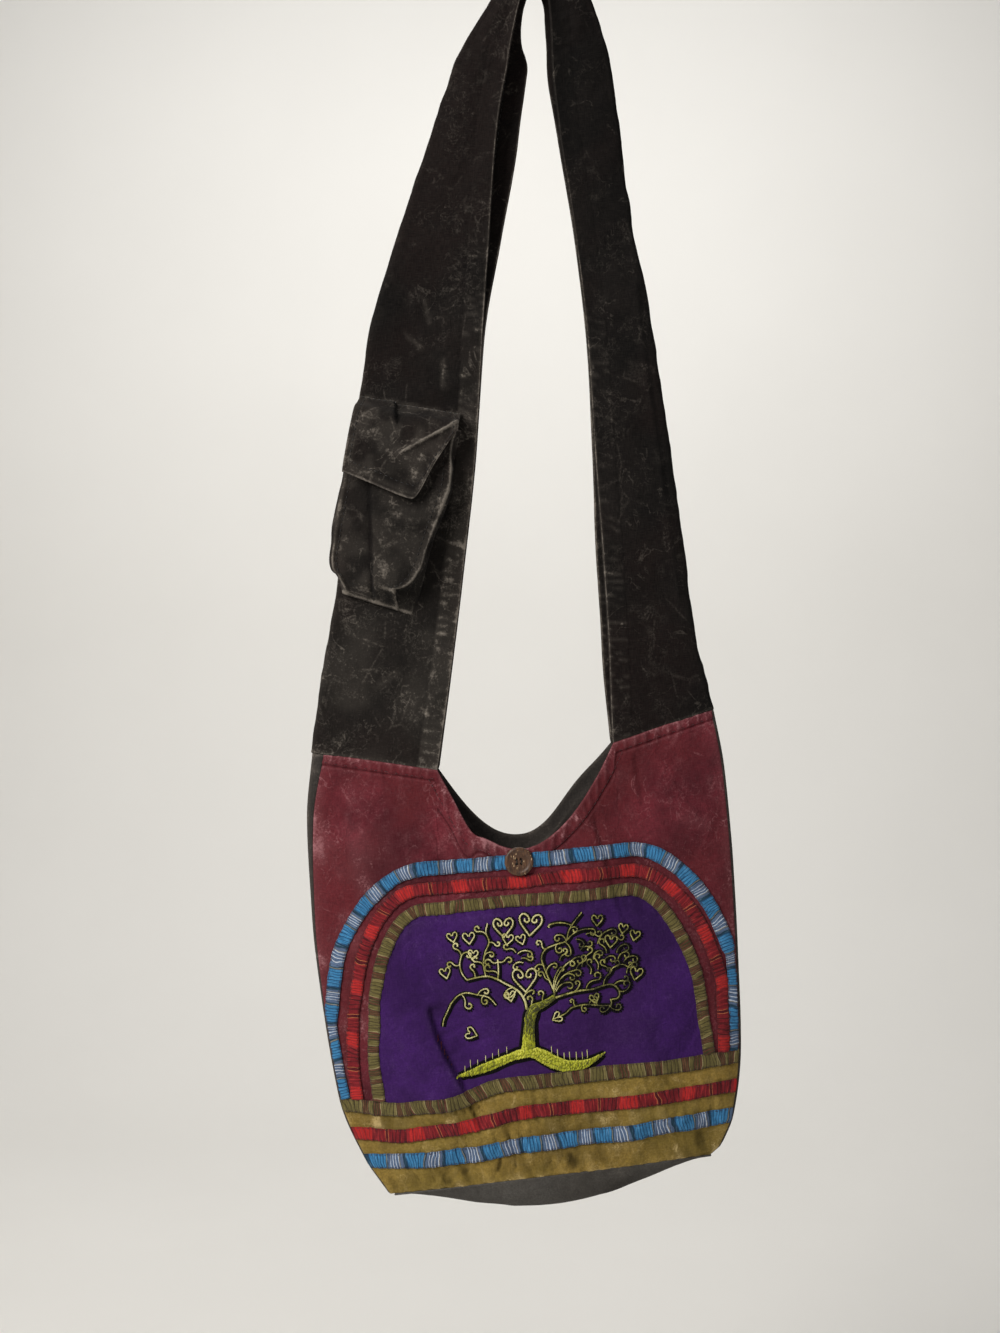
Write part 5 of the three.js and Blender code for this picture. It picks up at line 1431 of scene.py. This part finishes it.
def hill_stitches(rng):
    """Slanted stitches of random length over the hill, brightest in its middle."""
    lines, rises, tints = [], [], []
    for u in np.arange(-56, 47, 0.55):
        middle, tall = float(hill_top(u) + hill_low(u)) / 2, 0.86 * float(hill_top(u) - hill_low(u))
        low, top = middle - tall / 2, middle + tall / 2
        foot = low - rng.uniform(0, 0.8)
        while foot < top - 0.4:
            head = min(foot + rng.uniform(1.8, 3.2), top + rng.uniform(-0.2, 0.2))
            h = lerp(foot, head, STITCH)
            share = np.clip(((foot + head) / 2 - low) / tall, 0, 1)
            lines.append(pair(u + 0.4 * (h - middle), h))
            rises.append(lerp(-0.1, 0.75, STITCH_RISE) + math.sin(math.pi * share) * min(1, tall / 5))
            light = 0.36 + 0.3 * bell(u + 3, 16) + 0.35 * ramp(share, 0.6, 1)
            tints.append(light + rng.uniform(-0.32, 0.32))
            foot = head - 0.2
    points = on_centre(np.array(lines), np.array(rises))
    return tubes("hill_stitches", points, OUT_FRONT, 0.4, THREAD, 5, tints)


def trunk_stitches(rng):
    """Long stitches that run up the trunk, fanned at its foot and darker towards the crown."""
    spine = smooth_path(TRUNK, 0.4)
    way, gone = tangents(spine[:, :2]), travelled(spine[:, :2])
    across = left_of(way) * spine[:, 2:]
    lines, rises, tints = [], [], []
    for share in np.linspace(-0.42, 0.42, 19):
        lane = spine[:, :2] + across * share
        at = 5 * (2 * share) ** 2 + rng.uniform(-1, 1)
        while at < gone[-1] - 1:
            length = rng.uniform(2.8, 5)
            s = np.clip(at + STITCH * length, 0, gone[-1])
            up = s[2] / gone[-1]
            jitter = rng.uniform(-0.15, 0.15)
            lines.append(np.stack([np.interp(s, gone, lane[:, k]) + jitter for k in (0, 1)], 1))
            thick = np.interp(s[2], gone, spine[:, 2])
            rises.append(lerp(0.0, 0.75, STITCH_RISE) + 0.13 * min(8, thick) * (1 - (2 * share) ** 2))
            dark = 0.35 * (rng.uniform() < 0.12)
            tints.append(0.48 + 0.2 * share - 0.42 * ramp(up, 0.05, 0.5) - dark + rng.uniform(-0.3, 0.3))
            at += length * 0.8
    points = on_centre(np.array(lines), np.array(rises))
    return tubes("trunk_stitches", points, OUT_FRONT, 0.36, THREAD, 5, tints)


# Making
def declare(piece, node):
    if node:
        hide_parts(node)


def sew(name, rows, radius, material, sides):
    lines, up = (np.concatenate(part) for part in zip(*rows))
    return tubes(name, lines, up, radius, material, sides)


declare(strap(), "strap")
declare(front_yoke(), "front_yoke")
declare(front_lower_panel(), "front_lower_panel")
declare(
    centre_panel(), "centre_panel")
STRIP_CLOTH = {"blue": BLUE_STRIPE, "red": RED_STRIPE, "olive": OLIVE_STRIPE}
for seed, (tone, stuff) in enumerate(STRIP_CLOTH.items()):
    arch, (height, width) = ARCHES[tone], BANDS[tone]
    ways = (
        ("arch", arch_outline(arch, arch[1] / 2), arch[1], "yoke"),
        ("band", band_path(height), width, "lower"),
    )
    for start, (kind, path, wide, under) in enumerate(ways):
        own_seed = 30 * start + 7 * seed
        piece, length = strip(f"{kind}_{tone}_cloth", path, wide, stuff, own_seed, kind == "band")
        declare(piece, f"{kind}_strip_{tone}")
declare(back_panel(), "back_panel")
declare(bottom_panel(), "bottom_panel")
declare(pocket_pouch(), "pocket_pouch")
declare(
    pocket_flap(), "pocket_flap")
button_shell, button_thread = button()
declare(button_shell, "button")
declare(button_thread, None)
draws = np.random.default_rng(121)
strokes = tree_strokes()
declare(canopy(strokes, draws), None)
declare(outline_and_shadow(strokes), None)
declare(hill_stitches(draws), "tree_hill")
declare(trunk_stitches(draws), "tree_trunk")
declare(sew("strip_seams", SEWING, 0.15, MAROON_THREAD, 4), None)
declare(sew("dark_seams", DARK_SEWING, 0.26, BLACK_THREAD, 5), None)

# Pale floor that sweeps up far behind the bag
FLOOR_Z, SWEEP_Y, SWEEP_RADIUS = -1300, 1500, 900
FLOOR_FRONT, FLOOR_SIDE, WALL_TOP = -2400, 3200, 1800
turn = np.linspace(0, math.pi / 2, 17)
sweep_y = np.concatenate([[FLOOR_FRONT, 0], SWEEP_Y + SWEEP_RADIUS * np.sin(turn), [SWEEP_Y + SWEEP_RADIUS]])
sweep_z = np.concatenate([[FLOOR_Z, FLOOR_Z], FLOOR_Z + SWEEP_RADIUS * (1 - np.cos(turn)), [WALL_TOP]])
across = np.linspace(-FLOOR_SIDE, FLOOR_SIDE, 9)
points = np.stack(np.broadcast_arrays(across[:, None], sweep_y[None], sweep_z[None]), -1)
index = np.arange(points.shape[0] * points.shape[1]).reshape(points.shape[:2])
floor = mesh_object("floor", points.reshape(-1, 3), quads_of(index).tolist(), pale_ground("pale_floor"))
floor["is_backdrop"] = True

# Light and camera
scene = bpy.context.scene
world = bpy.data.worlds.new("soft_room")
scene.world = world
world.use_nodes = True
world.node_tree.nodes["Background"].inputs[0].default_value = (0.8, 0.785, 0.76, 1)
world.node_tree.nodes["Background"].inputs[1].default_value = 0.25


def softbox(name, place, aim, size, power, color=(1, 1, 1)):
    light = bpy.data.lights.new(name, "AREA")
    light.shape = "RECTANGLE"
    light.size, light.size_y = size
    light.energy = power
    light.color = color
    lamp = bpy.data.objects.new(name, light)
    scene.collection.objects.link(lamp)
    way = unit(np.array(aim, float) - np.array(place, float))
    lamp.location = place
    lamp.rotation_euler = (math.acos(-way[2]), 0, math.atan2(way[1], way[0]) - math.pi / 2)


softbox("key", (-1.2, -1.05, 0.3), (0, 0, -0.6), (0.9, 0.9), 39, (1, 0.97, 0.93))
softbox("fill", (1.5, -1.4, -0.3), (0, 0, -0.6), (1.2, 1.2), 4, (0.95, 0.97, 1))
softbox("wall", (0.0, 0.9, 0.9), (0, 2.4, -0.4), (2.0, 0.8), 22)

camera = bpy.data.cameras.new("camera")
camera.lens = 42.44
camera.sensor_width = 36
viewer = bpy.data.objects.new("camera", camera)
viewer.location = (-0.0252, -1.1, -0.51205)
viewer.rotation_euler = (math.pi / 2, 0, 0)
scene.collection.objects.link(viewer)
scene.camera = viewer
scene.view_settings.view_transform = "Standard"

plain = lambda box: [list(map(float, corner)) for corner in box]
{"cad": plain(cad_box), "visual": plain(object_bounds())}
